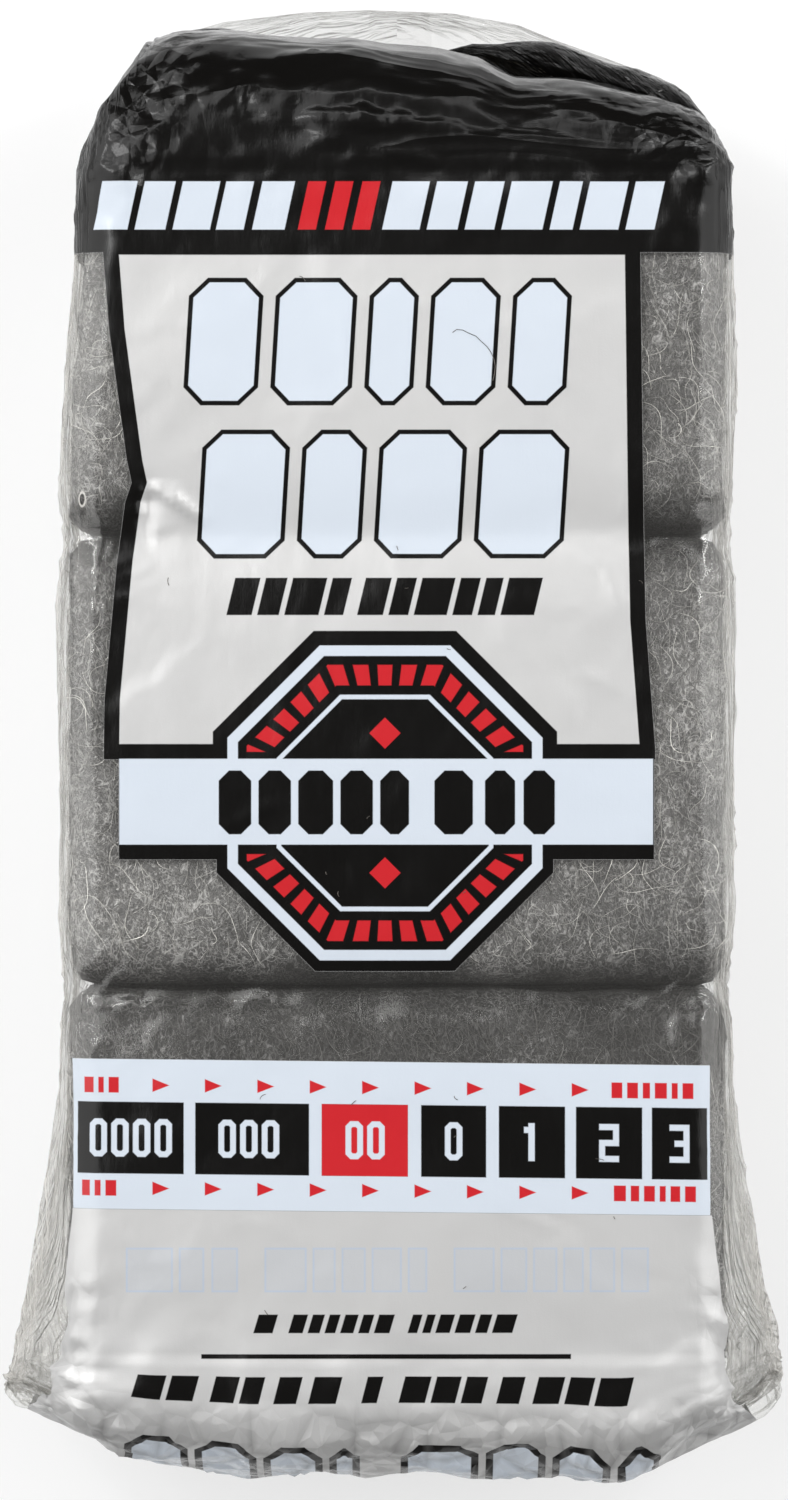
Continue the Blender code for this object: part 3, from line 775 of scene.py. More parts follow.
def filmPrint(bench, x, y, tube, topEdge):
    # colour, share of ink and share of silver ink, over the flat film
    p = printPlan
    panelAcross = bench.least(x - bench.chart(y, p["panelLeft"]), bench.chart(y, p["panelRight"]) - x)
    panel = bench.least(panelAcross, bench.within(y, *p["panelAlong"]))
    surround = bench.least(panelAcross + p["frame"], bench.within(y, *p["frameAlong"]))
    cap = bench.least(y - p["capBottom"], p["capBackEdge"] - tube)
    bandLeft, bandRight = p["bandAcross"]
    bandLines = bench.least(bench.within(x, bandLeft - 0.1, bandRight + 0.2), bench.within(y, *p["bandLinesAlong"]))
    band = bench.least(bench.within(x, bandLeft, bandRight), bench.within(y, *p["bandAlong"]))
    plate, ring, innerRing, dashes, diamonds = badgeShapes(bench, x, y)
    tilted = x * p["stripTilt"] + y
    stripAcross = bench.within(x, *p["stripAcross"])
    strip = bench.least(stripAcross, bench.within(tilted, *p["stripAlong"]))
    lower = bench.least(stripAcross + bench.chart(y, p["lowerSides"]),
                        bench.within(tilted, p["lowerBottom"], p["stripAlong"][0]))
    onScale = ("boxes", "zeros", "upperMarks", "lowerMarks")
    rows = {name: blockRow(bench, x, tilted if name in onScale else y, name) for name in blockRows}
    blocks = bench.most(rows["topBlocks"], rows["nextBlocks"])
    redBox = bench.least(bench.within(x, *p["redBox"]), bench.within(tilted, *blockRows["boxes"][1:3]))
    zeros = bench.least(rows["zeros"], digitBox["stroke"] - rows["zeros"])
    ruleAcross, ruleAlong = p["rule"]
    rule = bench.least(bench.within(x, *ruleAcross), bench.within(y, *ruleAlong))
    blackRows = bench.most(rows["thinRow"], rule, rows["slantedRow"])

    panelSilver = bench.least(panel, -badge["gap"] - plate)
    colour = bench.blend(bench.edge(bench.most(cap, surround, bandLines, plate)), inks["silver"], inks["black"])
    colour = bench.blend(bench.edge(panelSilver), colour, inks["silver"])
    for shape, ink in (
            (rows["capBars"], "white"), (rows["redCapBars"], "red"),
            (blocks, "black"), (blocks - p["blockOutline"], "white"), (rows["shortBars"], "black"),
            (ring, "white"), (innerRing, "white"), (dashes, "red"), (diamonds, "red"),
            (band, "white"), (rows["bandBlocks"], "black"),
            (strip, "white"), (rows["boxes"], "black"), (redBox, "red"),
            (bench.most(zeros, barDigits(bench, x, tilted)), "white"), (arrowShapes(bench, x, tilted), "red"),
            (bench.most(rows["upperMarks"], rows["lowerMarks"]), "red")):
        colour = bench.blend(bench.edge(shape), colour, inks[ink])
    faint = rows["faintRow"]
    faintOutline = bench.least(faint, p["faintOutline"] - faint)
    colour = bench.blend(bench.edge(faint) * p["faintFill"], colour, inks["faint"])
    colour = bench.blend(bench.edge(faintOutline) * p["faintLine"], colour, inks["faint"])
    for shape, ink in ((blackRows, "black"), (rows["underBlocks"], "black"),
                       (rows["underBlocks"] - p["underOutline"], "white")):
        colour = bench.blend(bench.edge(shape), colour, inks[ink])
    colour = bench.blend(bench.edge(y - (topEdge - p["border"]), 0.1), colour, inks["border"])

    covered = bench.edge(bench.most(cap, surround, bandLines, plate, strip, lower, bench.least(panel, 1.0)))
    printedOver = bench.edge(bench.most(blocks, rows["shortBars"], blackRows, rows["underBlocks"], plate))
    silver = bench.edge(bench.most(panelSilver, lower)) * (1.0 - printedOver)
    return colour, covered, silver


filmLook = {
    "clear": (0.97, 0.97, 0.965, 1.0),
    "shine": (0.95, 0.95, 0.93, 1.0),
    "shineRoughness": 0.12,
    "haze": (0.68, 0.66, 0.62, 1.0),
    "hazeAmount": (0.008, 0.035),   # everywhere, and in its cloudy patches
    "lapHaze": 0.12,
    "streakHazeAndHighlight": 0.26,              # haze in the lines drawn along the sides, partly a painted highlight where those wrinkles catch the light
    "lowHaze": 0.14,                # at the sides' bottom end
    "sides": (56.0, 121.0),         # across the flat tube
    "scuffed": (0.4, 0.39, 0.37, 1.0),
    # colours of painted shade, along the creases and on the facets of crushed film
    "creaseShade": (0.12, 0.118, 0.115, 1.0),
    "facetShade": (0.16, 0.158, 0.155, 1.0),
    "facetScales": (0.125, 0.29),   # per millimetre, large and small
    "lowEnd": (-112.0, 0.7),        # crushed below this place along the film, and how much
    "lowCorner": (43.0, 64.0, -94.0),   # crushed between two places across the tube, and below one along it
    "highCorner": (42.0, 99.0, 0.5),
    "creasedCap": (98.0, 0.24),
    "drawnLines": 0.36,             # height of the lines drawn along the sides
    "silverMetal": 0.3,
    "silverRoughness": 0.38,
    "bumps": ((0.08, 0.0004), (0.08, 0.0002), (0.8, 0.0011)),   # strength and height of fine, grainy, folded
}


def filmZones(bench, y, tube):
    # where the film is crushed: its bottom end with the corners there, and the upper corners
    endStart, endShare = filmLook["lowEnd"]
    inner, outer, below = filmLook["lowCorner"]
    innerHigh, above, highShare = filmLook["highCorner"]
    lowEnd = bench.edge(endStart - y, 4.0) * endShare
    lowCorner = bench.least(bench.edge(tube - inner, 8.0), bench.edge(outer - tube, 5.0)) * bench.edge(below - y, 10.0)
    highCorner = bench.edge(tube - innerHigh, 7.0) * bench.edge(y - above, 7.0) * highShare
    return bench.most(lowEnd, lowCorner), highCorner


def printedFilm(topEdge, lapStart):
    # clear film with ink on it: glossy, and lightly hazy where it is clear
    look = filmLook
    material, bench = newMaterial("printedFilm")
    place = bench.take("ShaderNodeUVMap", uv_map="print")
    flat = bench.take("ShaderNodeVectorMath", {0: place, 1: (-0.5, -0.5, 0.0)}, operation="ADD")
    flat = bench.take("ShaderNodeVectorMath", {0: flat, 3: printSheet}, operation="SCALE")
    x = bench.take("ShaderNodeSeparateXYZ", {0: flat})
    y = Value(bench, x.socket.node.outputs[1])
    tube = bench.take("ShaderNodeAttribute", output="Fac", attribute_name="tube")
    cross = bench.take("ShaderNodeCombineXYZ", {0: x, 1: y})
    colour, covered, silver = filmPrint(bench, x, y, tube, topEdge)

    fine = bench.noise(bench.stretch(cross, 1.0, 0.22), 0.55, 4.0, 0.6)
    grainy = bench.noise(cross, 3.2, 3.0, 0.6)
    mottled = bench.noise(cross, 0.07, 3.0, 0.55)
    sideStart, sideEnd = look["sides"]
    sideways = bench.edge(tube - sideStart, 4.0) * bench.edge(sideEnd - tube, 4.0)
    threads = bench.lines(bench.stretch(cross, 1.0, 0.035), 0.62, 2.0, 0.6, 0.3, 4.4) ** 3.2
    pressedFlat = bench.stretch(cross, 1.0, 0.8)
    low, high = filmZones(bench, y, tube)

    def crushed(kind, output):
        # the facets of crushed film: how far a place lies from their edges, or each facet's own number
        return [bench.take("ShaderNodeTexVoronoi", {"Vector": pressedFlat, "Scale": scale}, output, feature=kind,
                           voronoi_dimensions="2D") for scale in look["facetScales"]]

    large, small = crushed("DISTANCE_TO_EDGE", "Distance")
    capStart, capHeight = look["creasedCap"]
    capCreases = bench.lines(bench.stretch(cross, 0.3, 1.0), 0.085, 2.0, 0.5, 0.9, 6.0) * bench.edge(y - capStart, 5.0)
    folded = (large + small * 0.45) * (bench.most(low, high) * 2.6 + 0.05) + capCreases * capHeight
    folded = folded + threads * sideways * look["drawnLines"]
    bump = {}
    for (strength, depth), level in zip(look["bumps"], (fine, grainy, folded)):
        raised = {"Strength": strength, "Distance": depth, "Height": level, **bump}
        bump = {"Normal": bench.take("ShaderNodeBump", raised)}

    # the ink's colour, scuffed where it is silver; below, painted shade is added on crushed film
    wornAndShaded = bench.blend(silver, colour, bench.blend(mottled * 0.12, colour, look["scuffed"]))
    # painted shade: the silver ink darkened along the crease lines of the crushed zones
    creased = (large * -7.0 + 0.9).clipped() * low
    wornAndShaded = bench.blend((creased * mottled * 1.1).clipped(), wornAndShaded, look["creaseShade"])
    # painted shade and reflection: each facet of the crushed silver film darkened by its own amount, like facets that
    # face the light differently
    turned = (1.0 - bench.most(*crushed("F1", "Color"))) * low
    wornAndShaded = bench.blend(turned * silver, wornAndShaded, look["facetShade"])
    inked = bench.take("ShaderNodeBsdfPrincipled", {
        "Base Color": wornAndShaded, "Metallic": silver * look["silverMetal"],
        "Roughness": bench.between(silver, fine * 0.10 + 0.16, look["silverRoughness"]),
        "IOR": 1.45, "Specular IOR Level": 0.22, "Coat Weight": 0.25, "Coat Roughness": 0.06,
        "Coat Normal": bump["Normal"], **bump})

    haze = bench.take("ShaderNodeBsdfDiffuse", {"Color": look["haze"], **bump})
    shine = bench.take("ShaderNodeBsdfAnisotropic", {
        "Color": look["shine"], "Roughness": look["shineRoughness"], **bump})
    through = bench.take("ShaderNodeBsdfTransparent", {"Color": look["clear"]})
    leastHaze, cloudyHaze = look["hazeAmount"]
    # the lines down the sides get haze that is partly a painted highlight
    veil = mottled * cloudyHaze + leastHaze + sideways * threads * look["streakHazeAndHighlight"]
    veil = veil + bench.edge(tube - lapStart, 0.5) * look["lapHaze"]
    veil = (veil + sideways * bench.edge(-84.0 - y, 22.0) * look["lowHaze"]).clipped()
    onLip = bench.edge(y - 100.0, 8.0) * bench.edge(tube - 118.0, 4.0)
    veil = bench.most(veil, onLip * (mottled * 0.3 - 0.04))
    facing = bench.take("ShaderNodeLayerWeight", {"Blend": 0.5, **bump}, "Facing")
    veil = (veil * (facing ** 4.0 * 4.5 + 1.0)).clipped()
    clear = bench.mix(facing ** 5.0 * 0.55 + 0.055, bench.mix(veil, through, haze), shine)
    whole = bench.mix(covered, clear, inked)

    holeX, holeY, holeWide, holeLong = puncture
    away = bench.calc("SQRT", ((x - holeX) / holeWide) ** 2.0 + ((y - holeY) / holeLong) ** 2.0)
    whole = bench.mix(bench.edge(1.55 - away, 0.12) * 0.6, whole, haze)
    whole = bench.mix(bench.edge(1.0 - away, 0.08), whole, bench.take("ShaderNodeBsdfTransparent"))
    bench.add("ShaderNodeOutputMaterial", {0: whole})
    return material


# Steel wool pads

padShape = {
    "width": 109.2,
    "height": 74.6,
    "thickness": 16.7,
    "layers": 5,
    "gap": 0.35,
    "corner": 4.0,
    "edge": 2.8,
    "lumps": 0.42,
    "lumpSize": 17.0,
    "sideLumps": (0.3, 14.0),   # height and size
    "endLumps": (0.45, 9.0),
    "straightStep": 5.2,
    "turnSteps": 8,
    "stations": 25,
}


def rollOutline():
    # both sides of the flattened roll's ribbon, as one closed line of (y, z)
    p = padShape
    ribbon = (p["thickness"] - (p["layers"] - 1) * p["gap"]) / p["layers"]
    pitch = ribbon + p["gap"]
    widest = {1: pitch * (p["layers"] // 2 - 0.5) + ribbon / 2,
              -1: pitch * ((p["layers"] - 1) // 2) + ribbon / 2}
    straight = {side: p["height"] / 2 - widest[side] for side in widest}
    corners = [(-0.9 * straight[-1], 0.0)]
    for turn in range(1, p["layers"]):
        side = 1 if turn % 2 else -1
        centre = pitch / 2 if side > 0 else 0.0
        radius = turn * pitch / 2
        for angle in np.linspace(-math.pi / 2 * side, math.pi / 2 * side, p["turnSteps"] + 1):
            corners.append((side * (straight[side] + radius * abs(math.cos(angle))), centre + radius * math.sin(angle)))
    corners.append((-side * straight[-side], centre + side * radius))
    line = [corners[0]]
    for start, end in zip(corners, corners[1:]):
        steps = max(1, round(math.dist(start, end) / p["straightStep"]))
        line += [(start[0] + (end[0] - start[0]) * k / steps, start[1] + (end[1] - start[1]) * k / steps)
                 for k in range(1, steps + 1)]
    line = np.array(line)
    tangent = np.gradient(line, axis=0)
    tangent /= np.linalg.norm(tangent, axis=1, keepdims=True)
    normal = np.column_stack([-tangent[:, 1], tangent[:, 0]])
    return np.concatenate([line + normal * ribbon / 2, (line - normal * ribbon / 2)[::-1]])


def faceOutward(mesh):
    work = bmesh.new()
    work.from_mesh(mesh)
    bmesh.ops.recalc_face_normals(work, faces=work.faces)
    work.to_mesh(mesh)
    work.free()
    mesh.update()


def padMesh(name, middle, seed):
    p = padShape
    outline = rollOutline()
    halfX = p["width"] / 2
    xs = np.linspace(-1, 1, p["stations"])
    xs = np.sign(xs) * (1 - (1 - np.abs(xs)) ** 1.35) * halfX
    rings = []
    for x in xs:
        into = np.clip((abs(x) - (halfX - p["corner"])) / p["corner"], 0, 1)
        drawn = 1 - math.sqrt(max(1 - into**2 * 0.93, 0))
        scaleY = 1 - 2 * drawn * p["corner"] / p["height"]
        scaleZ = 1 - 2 * drawn * p["edge"] / p["thickness"]
        rings.append(np.column_stack([np.full(len(outline), x), outline[:, 0] * scaleY, outline[:, 1] * scaleZ]))
    points = np.array(rings)
    lumps = waves(points + np.array(middle) / mm, seed, p["lumpSize"])
    pull = np.clip(lumps, -1.2, 0.5) * p["lumps"]
    inner = 1 - np.exp(-((p["thickness"] / 2 - np.abs(points[..., 2])) / 2.2))
    points[..., 2] += np.sign(points[..., 2]) * (pull - 0.25) * (1 - 0.55 * inner)
    height, size = p["sideLumps"]
    sideLumps = waves(points, seed + 7, size) * height * (np.abs(points[..., 1]) / 37.0) ** 4
    points[..., 1] += np.sign(points[..., 1]) * sideLumps
    ends = np.abs(points[..., 0]) > halfX - 1
    height, size = p["endLumps"]
    endLumps = waves(points, seed + 3, size) * height - 0.3
    points[..., 0] += np.where(ends, np.sign(points[..., 0]) * endLumps, 0.0)
    count, stations = len(outline), len(xs)
    vertices = squeezeIntoEnds(points.reshape(-1, 3) + np.array(middle) / mm) * mm
    faces = []
    for s in range(stations - 1):
        for i in range(count):
            j = (i + 1) % count
            a, b = s * count, (s + 1) * count
            faces.append((a + i, a + j, b + j, b + i))
    last = (stations - 1) * count
    for i in range(count // 2 - 1):
        quad = (i, i + 1, count - 2 - i, count - 1 - i)
        faces.append(quad[::-1])
        faces.append(tuple(last + k for k in quad))
    mesh = bpy.data.meshes.new(name)
    mesh.from_pydata(vertices.tolist(), [], faces)
    faceOutward(mesh)
    return mesh


rowValleys = ((-0.0455, 0.0115), (0.0360, 0.0070))   # in metres along the pack: middle, and reach to each side


def rowValleyShade(bench, place):
    # 1 in the valleys between the pack's rows, where the wool gets painted shade
    along = bench.take("ShaderNodeSeparateXYZ", {0: place}, 1)
    spots = [(along - middle) / reach for middle, reach in rowValleys]
    return bench.most(*[(1.0 - spot * spot).clipped() for spot in spots])


woolLook = {
    "strandScale": 3400.0,
    "crossingScale": 2300.0,
    "curls": ((260.0, 44.0, 1.0), (430.0, 32.0, 1.0), (700.0, 20.0, 0.8)),   # scale, thinness, weight
    "curlLight": 0.36,
    "valleyShade": 0.155,
    "tones": [(0.30, (0.020, 0.019, 0.018)), (0.46, (0.075, 0.0735, 0.072)), (0.56, (0.17, 0.1666, 0.1632)),
              (0.72, (0.46, 0.452, 0.44))],
    "metallic": 0.45,
    "fibreTones": [(0.10, (0.09, 0.087, 0.082)), (0.42, (0.27, 0.265, 0.25)), (0.95, (0.78, 0.76, 0.71))],
    "fibreMetallic": 0.25,
    "fibreValleyShade": 0.88,
}


def steelWool():
    # matted fine steel fibres: dark between them, glinting along them
    look = woolLook
    material, bench = newMaterial("steelWool")
    place = bench.take("ShaderNodeTexCoord", output="Object")
    along = bench.stretch(place, 1.0, 0.28, 1.0)
    warp = bench.take("ShaderNodeTexNoise", {"Vector": place, "Scale": 90.0, "Detail": 2.0}, 1)
    bent = bench.take("ShaderNodeVectorMath", {0: warp, 1: (0.011, 0.011, 0.011), 2: along}, operation="MULTIPLY_ADD")
    strands = bench.noise(bench.stretch(bent, 1.0, 0.4, 1.0), look["strandScale"], 3.0, 0.65)
    crossing = bench.noise(bench.stretch(bent, 0.3, 2.4, 1.0), look["crossingScale"], 3.0, 0.6)
    tufts = bench.noise(place, 130.0, 4.0, 0.6, 0.4)
    clumps = bench.noise(bench.stretch(place, 1.0, 0.6, 1.0), 38.0, 3.0, 0.55)
    strand = crossing * 0.4 + strands * 0.6
    light = tufts * 0.4 + clumps * 0.6
    matted = bench.stretch(place, 1.0, 0.7, 1.0)
    curled = bench.most(*[bench.lines(matted, scale, 1.0, 0.5, 1.6, thin) * weight
                          for scale, thin, weight in look["curls"]])
    tone = curled * light * look["curlLight"] + (strand * 0.5 + light * 0.5)
    # painted shade in the valleys between the rows
    tone = tone - rowValleyShade(bench, place) * look["valleyShade"]
    bump = bench.take("ShaderNodeBump", {"Strength": 0.75, "Distance": 0.0006, "Height": tone})
    body = bench.take("ShaderNodeBsdfPrincipled", {
        "Base Color": bench.ramp(tone, look["tones"]), "Metallic": look["metallic"],
        "Roughness": strand * -0.25 + 0.62, "Normal": bump})
    bench.add("ShaderNodeOutputMaterial", {0: body})
    return material


def steelFibre():
    # single fibres that stand out of the wool, a few of them much brighter than the rest
    look = woolLook
    material, bench = newMaterial("steelFibre")
    place = bench.take("ShaderNodeTexCoord", output="Object")
    glint = bench.take("ShaderNodeAttribute", output="Fac", attribute_name="glint")
    tone = bench.noise(place, 420.0, 2.0, 0.6) * 0.35 + glint ** 3.0
    tone = tone * (bench.noise(place, 60.0, 2.0, 0.6) * 1.4 + 0.1)
    # painted shade on the fibres in the valleys between the rows
    tone = tone * (1.0 - rowValleyShade(bench, place) * look["fibreValleyShade"])
    body = bench.take("ShaderNodeBsdfPrincipled", {
        "Base Color": bench.ramp(tone, look["fibreTones"]), "Metallic": look["fibreMetallic"],
        "Roughness": tone * -0.1 + 0.42})
    bench.add("ShaderNodeOutputMaterial", {0: body})
    return material


fibreStyle = {
    "kinds": 24,
    "segments": 11,
    "length": (3.0, 11.0),
    "width": (0.05, 0.10),
    "rise": 0.5,
    "sunk": 0.08,
    "combing": (0.96, 0.25, 0.12),   # fibres lie mostly across this way, so along the pack
    "spread": 2.6,
    "size": (0.7, 1.15),
}


def fibreKinds(material):
    # short curly ribbons along X, lying on the plane z = 0 with their ends just under it
    f = fibreStyle
    kinds = bpy.data.collections.new("fibreKinds")
    bpy.context.scene.collection.children.link(kinds)
    for kind in range(f["kinds"]):
        rng = np.random.default_rng(100 + kind)
        length = rng.uniform(*f["length"])
        width = rng.uniform(*f["width"])
        turning = rng.uniform(-1, 1) * 2.4 * (1 if kind % 3 else 1.9)
        share = np.linspace(0, 1, f["segments"] + 1)
        wiggle = rng.uniform(0.15, 0.5) * np.sin(share * rng.uniform(4, 13) + rng.uniform(0, 6))
        heading = turning * (share - 0.5) + wiggle
        step = length / f["segments"]
        x = np.concatenate([[0], np.cumsum(np.cos(heading[:-1]) * step)])
        y = np.concatenate([[0], np.cumsum(np.sin(heading[:-1]) * step)])
        z = np.sin(np.pi * share) ** 0.7 * f["rise"] * rng.uniform(0.35, 1.0) - f["sunk"]
        line = np.column_stack([x - x.mean(), y - y.mean(), z])
        tangent = np.gradient(line, axis=0)
        sideways = np.column_stack([-tangent[:, 1], tangent[:, 0], np.zeros(len(line))])
        sideways /= np.linalg.norm(sideways, axis=1, keepdims=True)
        taper = (0.45 + 0.55 * np.sin(np.pi * share))[:, None]
        lean = np.array([0, 0, 1.0]) * np.sin(share * 7 + kind)[:, None] * 0.5
        half = (sideways + lean) * width / 2 * taper
        vertices = np.concatenate([line + half, line - half]) * mm
        n = len(line)
        mesh = bpy.data.meshes.new(f"fibreKind{kind:02d}")
        mesh.from_pydata(vertices.tolist(), [], [(i, i + n, i + n + 1, i + 1) for i in range(n - 1)])
        mesh.materials.append(material)
        mesh.shade_smooth()
        kinds.objects.link(bpy.data.objects.new(mesh.name, mesh))
    return kinds


def fibreTree():
    # scatters fibres over the shown faces of a pad, mostly along the pack, and adds them to it
    f = fibreStyle
    tree = bpy.data.node_groups.new("woolFibres", "GeometryNodeTree")
    inputs = {"Pad": "Geometry", "Fibres per area": "Float", "Seed": "Int", "Kinds": "Collection",
              "Material": "Material"}
    for name, kind in inputs.items():
        tree.interface.new_socket(name, in_out="INPUT", socket_type="NodeSocket" + kind)
    tree.interface.new_socket("Pad", in_out="OUTPUT", socket_type="NodeSocketGeometry")
    bench = NodeBench(tree)
    inlet = bench.add("NodeGroupInput").outputs
    pad, amount, seed, kinds, material = (Value(bench, inlet[k]) for k in range(len(inputs)))

    def chance(low, high, shift=0.0):
        # a random number for each fibre
        return bench.take("FunctionNodeRandomValue", {2: low, 3: high, "Seed": seed + shift}, 1, data_type="FLOAT")

    shown = bench.take("GeometryNodeInputNamedAttribute", {"Name": "shown"}, data_type="FLOAT")
    scatter = bench.add("GeometryNodeDistributePointsOnFaces", {"Mesh": pad, "Density": shown * amount, "Seed": seed})
    points, normal = (Value(bench, scatter.outputs[name]) for name in ("Points", "Normal"))
    upright = bench.take("FunctionNodeAlignRotationToVector", {"Vector": normal}, axis="Z")
    forward = bench.take("ShaderNodeVectorMath", {0: normal, 1: f["combing"]}, operation="CROSS_PRODUCT")
    combed = bench.take("FunctionNodeAlignRotationToVector", {"Rotation": upright, "Vector": forward},
                        axis="X", pivot_axis="Z")
    other = chance(-1.0, 1.0, 31.0)
    spin = chance(-1.0, 1.0) * other * f["spread"] + bench.calc("GREATER_THAN", other, 0.0) * math.pi
    spin = bench.take("FunctionNodeEulerToRotation", {0: bench.take("ShaderNodeCombineXYZ", {2: spin})})
    turned = bench.take("FunctionNodeRotateRotation", {0: combed, 1: spin}, rotation_space="LOCAL")
    kinds = bench.take("GeometryNodeCollectionInfo", {"Collection": kinds, "Separate Children": True,
                                                      "Reset Children": True})
    placed = bench.take("GeometryNodeInstanceOnPoints", {
        "Points": points, "Instance": kinds, "Pick Instance": True, "Rotation": turned,
        "Scale": chance(*f["size"], 57.0)})
    marked = bench.take("GeometryNodeStoreNamedAttribute", {
        "Geometry": placed, "Name": "glint", "Value": chance(0.0, 1.0, 83.0)}, data_type="FLOAT", domain="INSTANCE")
    real = bench.take("GeometryNodeRealizeInstances", {0: marked})
    finished = bench.take("GeometryNodeSetMaterial", {"Geometry": real, "Material": material})
    both = bench.add("GeometryNodeJoinGeometry")
    for part in (finished, pad):
        tree.links.new(part.socket, both.inputs[0])
    ending = bench.add("NodeGroupOutput")
    tree.links.new(both.outputs[0], ending.inputs[0])
    return tree


def makePlain(piece):
    # the piece's evaluated mesh in place of its modifiers
    graph = bpy.context.evaluated_depsgraph_get()
    mesh = bpy.data.meshes.new_from_object(piece.evaluated_get(graph))
    piece.modifiers.clear()
    old = piece.data
    piece.data = mesh
    bpy.data.meshes.remove(old)


padSides = {   # which way a pad's shown face looks, how many fibres stand out of it, and how far it may rise
    "front": {"out": 1, "fibres": 4300, "rise": 0.0004, "drop": 0.0},
    "back": {"out": -1, "fibres": 2300, "rise": 0.0, "drop": 0.0003},
    "inner": {"out": 0, "fibres": 800, "rise": 0.0, "drop": 0.0},
}
padReach = 0.0555   # half of what a pad may fill across the bag


def markShown(mesh, middle, out):
    # the faces that fibres stand on: a pad's outer face and both ends; gives back their area
    normals = readRows(mesh.polygons, "normal")
    centres = (readRows(mesh.polygons, "center") - middle) / mm
    shown = (normals[:, 2] * out > 0.5) & (centres[:, 2] * out > 6.5) if out else np.zeros(len(normals), bool)
    shown |= (np.abs(centres[:, 0]) > 53) & (np.abs(normals[:, 0]) > 0.6)
    mesh.attributes.new("shown", "FLOAT", "FACE").data.foreach_set("value", shown.astype(float))
    return (readRows(mesh.polygons, "area", 1)[:, 0] * shown).sum()


def layPads(filmSurface):
    wool, fibre = steelWool(), steelFibre()
    kinds = fibreKinds(fibre)
    tree = fibreTree()
    sockets = {item.name: item.identifier for item in tree.interface.items_tree if item.in_out == "INPUT"}
    pads = []
    for number in range(1, 13):
        node = f"wool_pad_{number:02d}"
        low, high = (np.array(corner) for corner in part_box(node))
        layer = (number - 1) // 3
        side = padSides["front" if layer == 3 else "back" if layer == 0 else "inner"]
        name = f"steelWoolPad{number:02d}"
        mesh = padMesh(name, (low + high) / 2, 40 + number)
        piece = addObject(name, mesh)
        mesh.materials.append(wool)
        area = markShown(mesh, (low + high) / 2, side["out"])
        modifier = piece.modifiers.new("fibres", "NODES")
        modifier.node_group = tree
        modifier[sockets["Fibres per area"]] = float(side["fibres"] / area)
        modifier[sockets["Seed"]] = number
        modifier[sockets["Kinds"]] = kinds
        modifier[sockets["Material"]] = fibre
        makePlain(piece)
        places = np.clip(readRows(piece.data.vertices, "co"), [-padReach, low[1] - 0.0001, low[2] - side["drop"]],
                         [padReach, high[1] + 0.0001, high[2] + side["rise"]])
        piece.data.vertices.foreach_set("co", places.ravel())
        keepInside(piece.data, filmSurface, 0.0002)
        piece.data.shade_smooth()
        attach(piece, "root")
        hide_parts(node)
        pads.append(piece)
    for kind in list(kinds.objects):
        mesh = kind.data
        bpy.data.objects.remove(kind)
        bpy.data.meshes.remove(mesh)
    bpy.data.collections.remove(kinds)
    return pads


def filmPiece():
    points, flat, inkPlace = layBag()
    lapStart = float(np.abs(flat[..., 0]).max()) - bagShape["lapWidth"]
    material = printedFilm(float(inkPlace[-1, 0, 1]), lapStart)
    points = wrinkleFilm(points, flat)
    grid = np.arange(points[:, :-1, 0].size).reshape(points.shape[0], -1)
    beside = np.roll(grid, -1, axis=1)
    faces = np.stack([grid[:-1], beside[:-1], beside[1:], grid[1:]], axis=-1).reshape(-1, 4)
    corners = np.stack([inkPlace[:-1, :-1], inkPlace[:-1, 1:], inkPlace[1:, 1:], inkPlace[1:, :-1]], axis=2)
    mesh = bpy.data.meshes.new("filmBag")
    mesh.from_pydata((points[:, :-1].reshape(-1, 3) * mm).tolist(), [], faces.tolist())
    mesh.uv_layers.new(name="print").data.foreach_set("uv", (corners / printSheet + 0.5).ravel())
    mesh.attributes.new("tube", "FLOAT", "POINT").data.foreach_set("value", np.abs(flat[:, :-1, 0]).ravel())
    mesh.materials.append(material)
    mesh.shade_smooth()
    piece = addObject("filmBag", mesh)
    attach(piece, "root")
    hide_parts("film_bag")
    return piece


# Loose bits of fibre that lie on the film

looseFibre = [(9.2, 69.1), (9.9, 69.6), (10.9, 69.5), (12.1, 68.9), (13.1, 68.5), (13.8, 67.8), (15.0, 66.7),
              (15.6, 65.8), (16.1, 64.6), (16.3, 63.5), (16.2, 62.3), (15.9, 61.1)]
looseBits = {"count": 22, "across": 44, "along": (-106, 80), "length": (0.5, 1.5), "width": 0.11, "above": 0.06}


